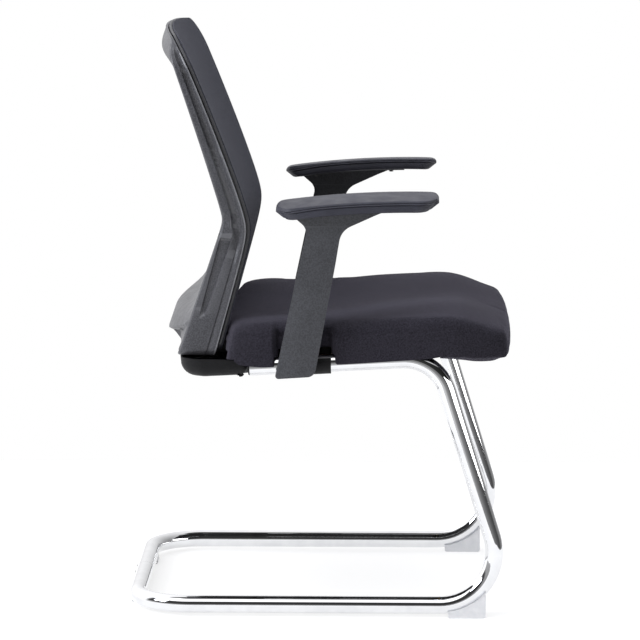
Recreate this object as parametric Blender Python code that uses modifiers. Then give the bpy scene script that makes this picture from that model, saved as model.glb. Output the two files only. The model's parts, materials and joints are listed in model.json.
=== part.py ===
"""Visitor chair on a bent steel tube frame, in metres, +Z up, facing -Y.

The origin lies on the floor under the middle of the chair. The left half is at -X.
"""
import math

import bmesh
import bpy
from mathutils import Matrix, Vector

# Clearances
GAP = 0.0003

# Tube frame
TUBE_RADIUS = 0.014
TUBE_WALL = 0.002
TUBE_BEVEL_RESOLUTION = 4
TUBE_SIDES = 4 + 2 * TUBE_BEVEL_RESOLUTION
FRAME_HALF_WIDTH = 0.241
RUNNER_HEIGHT = 0.018
FLOOR_BEND_RADIUS = 0.085
TOP_BEND_RADIUS = 0.070
LEG_LEAN = math.radians(17.1)
RAIL_RISE = math.radians(3.0)
RAIL_END_Y = 0.106
RAIL_END_Z = 0.397
FLOOR_CORNER_Y = -0.307
CROSSBAR_Y = 0.288
BEND_STEP = math.radians(13.0)

# Floor glides
GLIDE_WIDTH = 0.030
GLIDE_FRONT_Y = -0.264
GLIDE_LENGTH = 0.059
GLIDE_CHEEK = 0.005
GLIDE_PIN_RADIUS = 0.003
GLIDE_PIN_HEIGHT = 0.0125
REAR_GLIDE_X = 0.136
REAR_GLIDE_SIZE = (0.036, 0.026, 0.011)

# Joint of the two half frames
SLEEVE_LENGTH = 0.080
RIVET_OFFSET = 0.022
RIVET_RADIUS = 0.002

# Seat structure, measured from the plane on top of the rails
CROSSBAR_THICKNESS = 0.0117
CROSSBAR_WALL = 0.002
CROSSBAR_WIDTH = 0.040
CROSSBAR_HALF_LENGTH = FRAME_HALF_WIDTH + 0.0015
FRONT_CROSSBAR_Y = -0.112
REAR_CROSSBAR_Y = 0.082
PAN_THICKNESS = 0.012
PAN_HALF_WIDTH = 0.222
PAN_FRONT_Y = -0.258
PAN_REAR_Y = 0.120
PAN_CORNER = 0.050
SEAT_BOLT_X = 0.110
BOLT_RADIUS = 0.004
BOLT_HEAD_RADIUS = 0.0075
BOLT_HEAD_HEIGHT = 0.0045
NUT_RADIUS = 0.0075
NUT_HEIGHT = 0.0065
TNUT_RADIUS = 0.0055
TNUT_FLANGE_RADIUS = 0.0095
TNUT_FLANGE = 0.0012

# Cushion
CUSHION_HALF_WIDTH = 0.263
CUSHION_FRONT_Y = -0.3034
CUSHION_REAR_Y = 0.149
CUSHION_REAR_LEAN = 0.30
CUSHION_REAR_BOW = 0.016
CUSHION_TOP = 0.054
CUSHION_BOTTOM = -0.0105
CUSHION_NOSE_DROP = 0.013
CUSHION_WAIST = 0.016
CUSHION_WAIST_FRONT_Y = -0.036
CUSHION_WAIST_REAR_Y = 0.074
CUSHION_DISH = 0.011
RAIL_RECESS_HALF_WIDTH = FRAME_HALF_WIDTH + 0.0145
RAIL_RECESS_FRONT_Y = -0.190

# Underside tray
TRAY_DEPTH = 0.0292
TRAY_WALL = 0.003
TRAY_HALF_WIDTH = FRAME_HALF_WIDTH - 0.019
TRAY_REAR_HALF_WIDTH = FRAME_HALF_WIDTH - 0.0025
TRAY_FRONT_Y = -0.184
TRAY_STEP_Y = 0.1098
TRAY_REAR_Y = 0.214
TRAY_BOW = 0.012
TRAY_CORNER = 0.018
TRAY_FRONT_ROUND = 0.036
TRAY_REAR_ROUND = 0.024
TRAY_SIDE_RIM = -0.0085
TRAY_POST_RADIUS = 0.007
TRAY_SCREW_RADIUS = 0.002
TRAY_POST_X = 0.170

# Arms
ARM_INNER_X = 0.2585
ARM_THICKNESS = 0.022
ARM_FOOT_INNER_X = 0.160
ARM_FOOT_WIDTH = 0.052
ARM_FOOT_Y = 0.027
ARM_BOLT_X = (0.175, 0.205)
ARM_PLATE_THICKNESS = 0.005
ARM_PLATE_REAR_Y = 0.040
ARM_PLATE_FRONT_Y = -0.134
ARM_PLATE_HALF_WIDTH = 0.028
SADDLE_WALL = 0.0027
SADDLE_FRONT_Y = -0.021
SADDLE_REAR_Y = 0.060
PAD_CENTRE_X = 0.262
PAD_HALF_WIDTH = 0.042
PAD_THICKNESS = 0.0178
PAD_FRONT_Y = -0.188
PAD_REAR_Y = 0.064
PAD_TOP = 0.6675
PAD_TILT = math.radians(4.5)
PAD_ARCH = 0.34
PAD_ARCH_Y = -0.145
PAD_END_ROUND = 0.009
PAD_INNER_CORNER = 0.018
PAD_OUTER_CORNER = 0.026

# Back
BACK_HALF_WIDTH = 0.222
BACK_TOP = 0.905
BACK_CROWN = 0.012
BACK_BOTTOM = 0.4101
BACK_TOP_CORNER = 0.055
BACK_BOTTOM_CORNER = 0.024
BACK_WALL = 0.003
BACK_LIP = 0.0100
BACK_STATIONS = (5, 5, 25)
BACK_SAG = 0.024
WINDOW_HALF_WIDTH = BACK_HALF_WIDTH - 0.034
WINDOW_TOP = BACK_TOP - 0.049
WINDOW_BOTTOM = BACK_BOTTOM + 0.0889
WINDOW_TOP_CORNER = 0.024
WINDOW_BOTTOM_CORNER = 0.056
WINDOW_FLANGE = 0.010
WAIST_HEIGHT = 0.610
WAIST_REAR_RISE = 0.014
BACK_FOOT_Y = 0.16113
BACK_FOOT_DEPTH = 0.05923
BACK_RIM = 0.0040
TOP_RAIL_DROP = 0.0030
ACROSS_SHARES = (0.3, 0.62, 0.92)
INNER_FRAME_INSET = 0.005
INNER_FRAME_WIDTH = 0.014
INNER_FRAME_DEPTH = 0.0072
MESH_INSET = 0.007
MESH_THICKNESS = 0.002
MESH_COLUMNS = 10

# Bracket that carries the back
BRACKET_HALF_WIDTH = 0.150
BRACKET_THICKNESS = 0.005
BRACKET_REAR_Y = 0.222
BRACKET_BEND_Y = 0.118
BACK_BOLT_X = (0.060, 0.125)
BACK_BOLT_Y = 0.2085

PARTS = bpy.data.collections.new("visitor_chair")
CUTTERS = bpy.data.collections.new("cutters")


# Scene and materials
def clear_scene():
    for old in list(bpy.data.objects):
        bpy.data.objects.remove(old)
    bpy.context.scene.collection.children.link(PARTS)
    bpy.context.scene.collection.children.link(CUTTERS)


def material(name, colour, roughness, metallic=0.0, transmission=0.0):
    made = bpy.data.materials.new(name)
    made.use_nodes = True
    shader = made.node_tree.nodes["Principled BSDF"]
    shader.inputs["Base Color"].default_value = (*colour, 1.0)
    shader.inputs["Roughness"].default_value = roughness
    shader.inputs["Metallic"].default_value = metallic
    shader.inputs["Transmission Weight"].default_value = transmission
    made.diffuse_color = (*colour, 1.0)
    return made


def make_materials():
    return {
        "chrome": material("chrome", (0.80, 0.80, 0.80), 0.06, 1.0),
        "steel": material("steel", (0.05, 0.05, 0.055), 0.45, 0.6),
        "zinc": material("zinc", (0.62, 0.62, 0.60), 0.35, 1.0),
        "nylon": material("nylon", (0.060, 0.064, 0.068), 0.55),
        "shell": material("shell", (0.022, 0.023, 0.024), 0.5),
        "pad": material("pad", (0.050, 0.050, 0.058), 0.6),
        "fabric": material("fabric", (0.022, 0.020, 0.028), 0.95),
        "mesh": material("mesh", (0.060, 0.060, 0.070), 0.9),
        "board": material("board", (0.45, 0.33, 0.20), 0.7),
        "glide": material("glide", (0.82, 0.83, 0.84), 0.25, 0.0, 0.5),
    }


# Object helpers
def evaluated_mesh(source):
    graph = bpy.context.evaluated_depsgraph_get()
    return bpy.data.meshes.new_from_object(source.evaluated_get(graph))


def add_object(name, mesh, look=None, parent=None, cutter=False):
    made = bpy.data.objects.new(name, mesh)
    (CUTTERS if cutter else PARTS).objects.link(made)
    if cutter:
        made.hide_render = True
        made.display_type = "WIRE"
    if look is not None:
        mesh.materials.clear()
        mesh.materials.append(look)
    if parent is not None:
        made.parent = parent
    return made


def smooth(made, angle=35.0):
    made.data.shade_smooth()
    made.data.set_sharp_from_angle(angle=math.radians(angle))
    return made


def mesh_from_bmesh(name, form):
    bmesh.ops.recalc_face_normals(form, faces=form.faces)
    mesh = bpy.data.meshes.new(name)
    form.to_mesh(mesh)
    form.free()
    return mesh


def curve_mesh(name, splines, radius=0.0, resolution=2, thickness=0.0, caps=True):
    """Mesh of a round bar along 3D points, or of a flat outline with a thickness."""
    curve = bpy.data.curves.new(name, "CURVE")
    curve.dimensions = "3D" if radius else "2D"
    curve.resolution_u = 1
    curve.render_resolution_u = 0
    if radius:
        curve.bevel_depth = radius
        curve.bevel_resolution = resolution
        curve.use_fill_caps = caps
    else:
        curve.fill_mode = "BOTH"
        curve.extrude = thickness / 2
    for points in splines:
        spline = curve.splines.new("POLY")
        spline.points.add(len(points) - 1)
        for slot, point in zip(spline.points, points):
            slot.co = (*point, 1.0) if len(point) == 3 else (*point, 0.0, 1.0)
        spline.use_cyclic_u = not radius
    holder = bpy.data.objects.new(name, curve)
    bpy.context.scene.collection.objects.link(holder)
    mesh = evaluated_mesh(holder)
    bpy.data.objects.remove(holder)
    form = bmesh.new()
    form.from_mesh(mesh)
    bmesh.ops.remove_doubles(form, verts=form.verts, dist=0.000005)
    if caps:
        bmesh.ops.recalc_face_normals(form, faces=form.faces)
    form.to_mesh(mesh)
    form.free()
    mesh.materials.clear()
    return mesh


def side_prism(name, outlines, thickness, centre_x):
    """Plate of a thickness along X whose outlines are drawn as (y, z) points."""
    mesh = curve_mesh(name, outlines, thickness=thickness)
    turn = Matrix(((0, 0, 1, centre_x), (1, 0, 0, 0), (0, 1, 0, 0), (0, 0, 0, 1)))
    mesh.transform(turn)
    return mesh


def flat_prism(name, outlines, bottom, thickness):
    """Plate of a thickness along Z whose outlines are drawn as (x, y) points."""
    mesh = curve_mesh(name, outlines, thickness=thickness)
    mesh.transform(Matrix.Translation((0, 0, bottom + thickness / 2)))
    return mesh


def add_cylinder(form, radius, start, end, segments=20):
    """Add a closed cylinder between two points to a bmesh."""
    axis = Vector(end) - Vector(start)
    turn = axis.to_track_quat("Z", "Y").to_matrix().to_4x4()
    place = Matrix.Translation((Vector(start) + Vector(end)) / 2) @ turn
    bmesh.ops.create_cone(
        form, cap_ends=True, segments=segments, radius1=radius, radius2=radius,
        depth=axis.length, matrix=place,
    )


def add_box(form, low, high):
    """Add a closed box between two corners to a bmesh."""
    low, high = Vector(low), Vector(high)
    place = Matrix.Translation((low + high) / 2) @ Matrix.Diagonal((*(high - low), 1.0))
    bmesh.ops.create_cube(form, size=1.0, matrix=place)


def cylinders(name, radius, spans, segments=20):
    form = bmesh.new()
    for start, end in spans:
        add_cylinder(form, radius, start, end, segments)
    return mesh_from_bmesh(name, form)


def boxes(name, spans):
    form = bmesh.new()
    for low, high in spans:
        add_box(form, low, high)
    return mesh_from_bmesh(name, form)


def turned(name, profile, steps=10):
    """Mesh turned about Z from (radius, height) points that run top to bottom."""
    mesh = bpy.data.meshes.new(name)
    points = [(radius, 0.0, height) for radius, height in profile]
    mesh.from_pydata(points, [(i, i + 1) for i in range(len(points) - 1)], [])
    holder = bpy.data.objects.new(name, mesh)
    bpy.context.scene.collection.objects.link(holder)
    screw = holder.modifiers.new("turn", "SCREW")
    screw.steps = steps
    screw.render_steps = steps
    screw.use_merge_vertices = True
    screw.merge_threshold = 0.00001
    made = evaluated_mesh(holder)
    bpy.data.objects.remove(holder)
    form = bmesh.new()
    form.from_mesh(made)
    return mesh_from_bmesh(name, form)


def place_copies(name, mesh, points, look, direction=(0.0, 0.0, 1.0), parent=None):
    """One object for each point, all sharing a turned mesh whose axis is laid along the direction."""
    for number, point in enumerate(points, 1):
        copy = add_object(f"{name}_{number}", mesh, look, parent)
        copy.location = point
        copy.rotation_euler = Vector(direction).to_track_quat("Z", "Y").to_euler()
        smooth(copy)


def change(target, operation, mesh):
    """Cut, or join, a mesh with another by an exact Boolean, and keep the result as the object's mesh."""
    tool = add_object(target.name + "_" + operation.lower(), mesh, cutter=True, parent=target.parent)
    step = target.modifiers.new(operation.lower(), "BOOLEAN")
    step.operation = operation
    step.solver = "EXACT"
    step.object = tool
    apply_modifiers(target)
    bpy.data.objects.remove(tool)


def apply_modifiers(target):
    look = target.data.materials[0] if target.data.materials else None
    bpy.context.view_layer.update()
    mesh = evaluated_mesh(target)
    target.modifiers.clear()
    target.data = mesh
    mesh.materials.clear()
    if look is not None:
        mesh.materials.append(look)


def bevel(target, width, segments=2, angle=30.0):
    step = target.modifiers.new("round edges", "BEVEL")
    step.width = width
    step.segments = segments
    step.limit_method = "ANGLE"
    step.angle_limit = math.radians(angle)
    apply_modifiers(target)


# Shape helpers
def rounded_path(corners, radii, step=BEND_STEP):
    """Points along straight runs joined by arcs of the given radii at the inner corners."""
    corners = [Vector(corner) for corner in corners]
    path = [corners[0]]
    for before, corner, after, radius in zip(corners, corners[1:], corners[2:], radii):
        arriving = (corner - before).normalized()
        leaving = (after - corner).normalized()
        turn = arriving.angle(leaving)
        reach = radius * math.tan(turn / 2)
        start = corner - arriving * reach
        inward = (leaving - arriving * math.cos(turn)).normalized()
        centre = start + inward * radius
        count = max(3, round(turn / step))
        for i in range(count + 1):
            angle = turn * i / count
            path.append(centre - inward * radius * math.cos(angle) + arriving * radius * math.sin(angle))
    path.append(corners[-1])
    return path


def rounded_outline(corners, radii, step=math.radians(15.0)):
    """Closed outline with each corner rounded by its own radius, 0 for a sharp corner."""
    corners = [Vector((*corner, 0.0)) for corner in corners]
    outline = []
    for i, radius in enumerate(radii):
        before, corner, after = corners[i - 1], corners[i], corners[(i + 1) % len(corners)]
        if not radius:
            outline.append(corner.to_2d())
            continue
        start = before.lerp(corner, 0.5)
        end = corner.lerp(after, 0.5)
        for point in rounded_path((start, corner, end), (radius,), step)[1:-1]:
            outline.append(point.to_2d())
    return outline


def loft(name, loops, closed_loops=True, closed_run=False, caps=True):
    """Skin between loops with the same number of points."""
    form = bmesh.new()
    rows = [[form.verts.new(point) for point in loop] for loop in loops]
    pairs = list(zip(rows, rows[1:]))
    if closed_run:
        pairs.append((rows[-1], rows[0]))
    count = len(rows[0])
    last = count if closed_loops else count - 1
    for low, high in pairs:
        for i in range(last):
            j = (i + 1) % count
            form.faces.new((low[i], low[j], high[j], high[i]))
    if caps and not closed_run:
        form.faces.new(rows[0])
        form.faces.new(rows[-1])
    return mesh_from_bmesh(name, form)


def blend(value, start, end):
    """0 at start and 1 at end, smooth in between; start may be above end."""
    t = min(1.0, max(0.0, (value - start) / (end - start)))
    return t * t * (3.0 - 2.0 * t)


# Tube frame
def line_meet(point, slope, other, other_slope):
    """Where two lines z = z0 + slope (y - y0) meet, as (y, z)."""
    y = (other[1] - point[1] + slope * point[0] - other_slope * other[0]) / (slope - other_slope)
    return y, point[1] + slope * (y - point[0])


def frame_corners(side):
    leg_slope = 1.0 / math.tan(LEG_LEAN)
    top_y, top_z = line_meet(
        (RAIL_END_Y, RAIL_END_Z), -math.tan(RAIL_RISE), (FLOOR_CORNER_Y, RUNNER_HEIGHT), leg_slope
    )
    x = side * FRAME_HALF_WIDTH
    return (
        (x, RAIL_END_Y, RAIL_END_Z),
        (x, top_y, top_z),
        (x, FLOOR_CORNER_Y, RUNNER_HEIGHT),
        (x, CROSSBAR_Y, RUNNER_HEIGHT),
        (side * GAP / 2, CROSSBAR_Y, RUNNER_HEIGHT),
    )


def frame_path(side):
    return rounded_path(frame_corners(side), (TOP_BEND_RADIUS, FLOOR_BEND_RADIUS, FLOOR_BEND_RADIUS))


def frame_cutter(side):
    """Solid bar just larger than the tube, to fit the glides to it."""
    return curve_mesh("tube_space", [frame_path(side)], TUBE_RADIUS + GAP, TUBE_BEVEL_RESOLUTION)


def front_pin_y():
    return GLIDE_FRONT_Y + 0.048


def make_frame(side, name, looks):
    mesh = curve_mesh(name, [frame_path(side)], TUBE_RADIUS, TUBE_BEVEL_RESOLUTION, caps=False)
    tube = add_object(name, mesh, looks["chrome"])
    wall = tube.modifiers.new("wall", "SOLIDIFY")
    wall.thickness = TUBE_WALL
    wall.offset = -1.0
    apply_modifiers(tube)
    hole = GLIDE_PIN_RADIUS + GAP
    x = side * FRAME_HALF_WIDTH
    rear_x = side * REAR_GLIDE_X
    rivet_x = side * RIVET_OFFSET
    middle = RUNNER_HEIGHT - 0.003
    change(tube, "DIFFERENCE", cylinders("pin_holes", hole, (
        ((x, front_pin_y(), 0.0), (x, front_pin_y(), middle)),
        ((rear_x, CROSSBAR_Y, 0.0), (rear_x, CROSSBAR_Y, middle)),
    )))
    change(tube, "DIFFERENCE", cylinders("rivet_hole", RIVET_RADIUS + GAP, (
        ((rivet_x, CROSSBAR_Y, RUNNER_HEIGHT), (rivet_x, CROSSBAR_Y + 0.03, RUNNER_HEIGHT)),
    )))
    return smooth(tube)


def make_joint(looks):
    outer = TUBE_RADIUS - TUBE_WALL - GAP
    half = SLEEVE_LENGTH / 2
    ends = [(-half, CROSSBAR_Y, RUNNER_HEIGHT), (half, CROSSBAR_Y, RUNNER_HEIGHT)]
    mesh = curve_mesh("joint_sleeve", [ends], outer, TUBE_BEVEL_RESOLUTION, caps=False)
    sleeve = add_object("joint_sleeve", mesh, looks["zinc"])
    wall = sleeve.modifiers.new("wall", "SOLIDIFY")
    wall.thickness = TUBE_WALL
    wall.offset = -1.0
    apply_modifiers(sleeve)
    spans = []
    for side in (-1, 1):
        x = side * RIVET_OFFSET
        spans.append(((x, CROSSBAR_Y, RUNNER_HEIGHT), (x, CROSSBAR_Y + 0.03, RUNNER_HEIGHT)))
    change(sleeve, "DIFFERENCE", cylinders("sleeve_holes", RIVET_RADIUS + GAP, spans))
    smooth(sleeve)
    head = 0.0045
    seat = TUBE_RADIUS + GAP
    profile = (
        (0.0, seat + 0.0016), (head * 0.6, seat + 0.0013), (head, seat), (RIVET_RADIUS, seat),
        (RIVET_RADIUS, TUBE_RADIUS - 2 * TUBE_WALL - 0.002), (0.0, TUBE_RADIUS - 2 * TUBE_WALL - 0.002),
    )
    points = [(side * RIVET_OFFSET, CROSSBAR_Y, RUNNER_HEIGHT) for side in (-1, 1)]
    place_copies("joint_rivet", turned("joint_rivet", profile, 8), points, looks["zinc"], (0.0, 1.0, 0.0))


def make_rail_plug(side, name, looks):
    along = (0.0, math.cos(RAIL_RISE), -math.sin(RAIL_RISE))
    spigot = (TUBE_RADIUS - TUBE_WALL) * math.cos(math.pi / TUBE_SIDES) - GAP
    profile = (
        (0.0, GAP + 0.0022), (TUBE_RADIUS - 0.002, GAP + 0.0022), (TUBE_RADIUS - 0.0006, GAP + 0.0012),
        (TUBE_RADIUS - 0.0006, GAP), (spigot, GAP), (spigot, -0.013), (0.0, -0.013),
    )
    plug = add_object(name, turned(name, profile, 16), looks["shell"])
    plug.location = (side * FRAME_HALF_WIDTH, RAIL_END_Y, RAIL_END_Z)
    plug.rotation_euler = Vector(along).to_track_quat("Z", "Y").to_euler()
    smooth(plug)


def make_front_glide(side, name, looks):
    """Wedge under the front floor bend, hollowed to the tube, with a pin into it."""
    centre_y = FLOOR_CORNER_Y + FLOOR_BEND_RADIUS * math.tan((math.pi / 2 + LEG_LEAN) / 2)
    centre_z = RUNNER_HEIGHT + FLOOR_BEND_RADIUS
    reach = FLOOR_BEND_RADIUS + TUBE_RADIUS - GLIDE_CHEEK
    rear_y = GLIDE_FRONT_Y + GLIDE_LENGTH
    steps = 6
    top = []
    for i in range(steps + 1):
        y = rear_y + (GLIDE_FRONT_Y - rear_y) * i / steps
        top.append((y, centre_z - math.sqrt(reach ** 2 - (y - centre_y) ** 2)))
    corners = [(GLIDE_FRONT_Y, 0.0), (rear_y, 0.0), *top]
    radii = [0.004, 0.003] + [0.0] * len(top)
    x = side * FRAME_HALF_WIDTH
    form = side_prism(name, [rounded_outline(corners, radii)], GLIDE_WIDTH, x)
    glide = add_object(name, form, looks["glide"])
    bevel(glide, 0.0015, 1, 60.0)
    change(glide, "DIFFERENCE", frame_cutter(side))
    pin_y = front_pin_y()
    pin = cylinders("pin", GLIDE_PIN_RADIUS, (((x, pin_y, 0.003), (x, pin_y, GLIDE_PIN_HEIGHT)),), 12)
    change(glide, "UNION", pin)
    smooth(glide)


def make_rear_glide(side, name, looks):
    """Saddle under the crossbar, with a pin into it."""
    length, width, height = REAR_GLIDE_SIZE
    x = side * REAR_GLIDE_X
    low = (x - length / 2, CROSSBAR_Y - width / 2, 0.0)
    high = (x + length / 2, CROSSBAR_Y + width / 2, height)
    glide = add_object(name, boxes(name, ((low, high),)), looks["glide"])
    bevel(glide, 0.003, 2)
    change(glide, "DIFFERENCE", frame_cutter(side))
    span = ((x, CROSSBAR_Y, 0.002), (x, CROSSBAR_Y, GLIDE_PIN_HEIGHT))
    pin = cylinders("pin", GLIDE_PIN_RADIUS, (span,), 12)
    change(glide, "UNION", pin)
    smooth(glide)


# Seat structure
def seat_empty():
    """Empty on the plane that touches the tops of both rails, above the origin."""
    holder = bpy.data.objects.new("seat_plane", None)
    PARTS.objects.link(holder)
    holder.location = (0.0, 0.0, seat_plane_height(0.0))
    holder.rotation_euler = (-RAIL_RISE, 0.0, 0.0)
    bpy.context.view_layer.update()
    return holder


def seat_plane_height(y):
    return RAIL_END_Z + (RAIL_END_Y - y) * math.tan(RAIL_RISE) + TUBE_RADIUS / math.cos(RAIL_RISE)


def seat_bolt_spots():
    """(x, y) of the bolts that hold the seat board, front pair first."""
    return [(side * SEAT_BOLT_X, y) for y in (FRONT_CROSSBAR_Y, REAR_CROSSBAR_Y) for side in (-1, 1)]


def arm_bolt_spots():
    return [(side * x, ARM_FOOT_Y) for side in (-1, 1) for x in ARM_BOLT_X]


def upright_spans(spots, low, high):
    return [((x, y, low), (x, y, high)) for x, y in spots]


def make_seat_crossbar(name, y, looks, plane):
    """Flat rectangular tube across both rails."""
    half = CROSSBAR_WIDTH / 2
    low, high = GAP, GAP + CROSSBAR_THICKNESS
    wall = CROSSBAR_WALL
    outer = [(y - half, low), (y + half, low), (y + half, high), (y - half, high)]
    inner = [
        (y - half + wall, low + wall), (y + half - wall, low + wall),
        (y + half - wall, high - wall), (y - half + wall, high - wall),
    ]
    mesh = side_prism(name, [outer, inner], 2 * CROSSBAR_HALF_LENGTH, 0.0)
    bar = add_object(name, mesh, looks["steel"], plane)
    spots = [spot for spot in seat_bolt_spots() if spot[1] == y]
    bolt_spans = upright_spans(spots, -0.01, 0.03)
    change(bar, "DIFFERENCE", cylinders("bolt_holes", BOLT_RADIUS + GAP, bolt_spans, 12))
    screws = [(side * TRAY_POST_X, y) for side in (-1, 1)]
    screw_spans = upright_spans(screws, -0.01, 0.006)
    change(bar, "DIFFERENCE", cylinders("screw_holes", TRAY_SCREW_RADIUS + GAP, screw_spans, 8))


def pan_bottom():
    return CROSSBAR_THICKNESS + 2 * GAP


def make_seat_pan(looks, plane):
    corners = (
        (-PAN_HALF_WIDTH, PAN_FRONT_Y), (PAN_HALF_WIDTH, PAN_FRONT_Y),
        (PAN_HALF_WIDTH, PAN_REAR_Y), (-PAN_HALF_WIDTH, PAN_REAR_Y),
    )
    outline = rounded_outline(corners, (PAN_CORNER,) * 4)
    board = flat_prism("seat_pan", [outline], pan_bottom(), PAN_THICKNESS)
    pan = add_object("seat_pan", board, looks["board"], plane)
    spots = seat_bolt_spots() + arm_bolt_spots()
    top = pan_bottom() + PAN_THICKNESS
    flange_space = TNUT_FLANGE + GAP
    change(pan, "DIFFERENCE", cylinders(
        "barrel_holes", TNUT_RADIUS + GAP, upright_spans(spots, 0.0, top + 0.01), 12))
    change(pan, "DIFFERENCE", cylinders(
        "flange_spaces", TNUT_FLANGE_RADIUS + GAP, upright_spans(spots, top - flange_space, top + 0.01), 16))


def make_fasteners(looks, plane):
    top = pan_bottom() + PAN_THICKNESS
    barrel_top = top - GAP
    inside = BOLT_RADIUS + GAP
    barrel = (
        (inside, barrel_top), (TNUT_FLANGE_RADIUS, barrel_top), (TNUT_FLANGE_RADIUS, barrel_top - TNUT_FLANGE),
        (TNUT_RADIUS, barrel_top - TNUT_FLANGE), (TNUT_RADIUS, pan_bottom() + 0.002),
        (inside, pan_bottom() + 0.002), (inside, barrel_top),
    )
    points = [(x, y, 0.0) for x, y in seat_bolt_spots() + arm_bolt_spots()]
    place_copies("seat_tnut", turned("seat_tnut", barrel), points, looks["zinc"], parent=plane)

    def bolts(name, spots, head_top, tip):
        flank = BOLT_HEAD_RADIUS
        profile = (
            (0.0, tip), (BOLT_RADIUS * 0.8, tip), (BOLT_RADIUS, tip - 0.0008), (BOLT_RADIUS, head_top),
            (flank, head_top), (flank, head_top - BOLT_HEAD_HEIGHT * 0.5),
            (flank * 0.7, head_top - BOLT_HEAD_HEIGHT), (0.0, head_top - BOLT_HEAD_HEIGHT),
        )
        points = [(x, y, 0.0) for x, y in spots]
        place_copies(name, turned(name, profile), points, looks["zinc"], parent=plane)

    spots = seat_bolt_spots()
    bolts("seat_bolt_front", spots[:2], 0.0, barrel_top - 0.001)
    bolts("seat_bolt_rear", spots[2:], -BRACKET_THICKNESS - 2 * GAP, barrel_top - 0.001)
    bolts("arm_bolt", arm_bolt_spots(), 0.0, barrel_top - 0.001)


# Cushion
def cushion_half_width(y):
    """Half width of the cushion, drawn in where the arm passes."""
    waist = blend(y, CUSHION_WAIST_FRONT_Y - 0.012, CUSHION_WAIST_FRONT_Y + 0.008)
    waist -= blend(y, CUSHION_WAIST_REAR_Y - 0.006, CUSHION_WAIST_REAR_Y + 0.012)
    return CUSHION_HALF_WIDTH - CUSHION_WAIST * waist


def cushion_top(x, y):
    """Height of the cushion: two thigh ridges with a dish between them and a falling front edge."""
    forward = blend(-y, -0.06, 0.16)
    ridge_x = 0.195 - 0.055 * forward
    ridge = math.exp(-((abs(x) - ridge_x) / 0.085) ** 2)
    centre = blend(-y, 0.19, 0.30)
    dish = CUSHION_DISH * (1.0 - ridge) * (1.0 if abs(x) < ridge_x else 0.8) * (1.0 - 0.7 * centre)
    saddle = 0.004 * (1.0 - blend(abs(y - 0.005), 0.03, 0.12))
    front_fall = 0.034 * blend(-y, 0.195, 0.305) ** 1.3
    rear_fall = 0.003 * blend(y, 0.10, 0.150)
    return CUSHION_TOP - dish - saddle - front_fall - rear_fall


def seat_recesses():
    """Boxes kept free under the cushion for the arms' feet, the crossbars and the rails, in the seat plane."""
    outer = CROSSBAR_HALF_LENGTH + 2 * GAP
    foot = ARM_FOOT_WIDTH / 2 + 2 * GAP
    rails = ((-RAIL_RECESS_HALF_WIDTH, RAIL_RECESS_FRONT_Y, -0.08), (RAIL_RECESS_HALF_WIDTH, 0.20, 2 * GAP))
    bars = ((-outer, RAIL_RECESS_FRONT_Y, -0.01), (outer, 0.20, pan_bottom()))
    feet = ((-ARM_INNER_X, ARM_FOOT_Y - foot, -0.01), (ARM_INNER_X, ARM_FOOT_Y + foot, pan_bottom()))
    return feet, bars, rails


def make_cushion(looks, plane):
    columns, rows = 8, 11
    form = bmesh.new()
    bmesh.ops.create_grid(form, x_segments=columns, y_segments=rows, size=1.0)
    layer = {vert: 0 for vert in form.verts}
    for height in (1, 2, 3, 4):
        top_faces = [face for face in form.faces if all(layer[vert] == height - 1 for vert in face.verts)]
        made = bmesh.ops.extrude_face_region(form, geom=top_faces)["geom"]
        for item in made:
            if isinstance(item, bmesh.types.BMVert):
                layer[item] = height
        bmesh.ops.delete(form, geom=[face for face in top_faces if height > 1], context="FACES_ONLY")
        form.verts.ensure_lookup_table()
        layer = {vert: layer.get(vert, height) for vert in form.verts}
    middle_y = (CUSHION_FRONT_Y + CUSHION_REAR_Y) / 2
    half_length = (CUSHION_REAR_Y - CUSHION_FRONT_Y) / 2
    for vert, level in layer.items():
        u, v = (0.4 * share + 0.6 * math.sin(share * math.pi / 2) for share in vert.co.xy)
        bow = CUSHION_REAR_BOW * (1.0 - u * u) * blend(v, 0.3, 1.0)
        y = middle_y + half_length * v * math.sqrt(1.0 - (0.10 if v < 0 else 0.02) * u * u) + bow
        x = cushion_half_width(y) * u * math.sqrt(1.0 - (0.22 if v < 0 else 0.10) * v ** 4)
        edge = max(abs(u), abs(v)) ** 6
        top = cushion_top(x, y)
        bottom = CUSHION_BOTTOM - CUSHION_NOSE_DROP * blend(-y, 0.16, 0.29)
        tuck = (0.994, 1.0, 1.0, 0.998, 0.970)[level]
        height = (bottom, bottom + 0.006, bottom + 0.022, top - 0.012, top)[level]
        narrow = 1.0 + (tuck - 1.0) * edge
        forward = 1.0 + (tuck - 1.0) * edge * 0.6
        lean = CUSHION_REAR_LEAN * (height - bottom) * blend(v, 0.5, 1.0)
        vert.co = Vector((x * narrow, middle_y + (y - middle_y) * forward - lean, height))
    cushion = add_object("seat_cushion", mesh_from_bmesh("seat_cushion", form), looks["fabric"], plane)
    soft = cushion.modifiers.new("soft form", "SUBSURF")
    soft.levels = 1
    soft.render_levels = 1
    apply_modifiers(cushion)
    board_top = pan_bottom() + PAN_THICKNESS + GAP
    edge = GAP * 2
    for space in seat_recesses():
        change(cushion, "DIFFERENCE", boxes("recess", (space,)))
    change(cushion, "DIFFERENCE", boxes("board_recess", ((
        (-PAN_HALF_WIDTH - edge, PAN_FRONT_Y - edge, pan_bottom() - 0.004),
        (PAN_HALF_WIDTH + edge, 0.20, board_top),
    ),)))
    smooth(cushion, 60.0)


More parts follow.
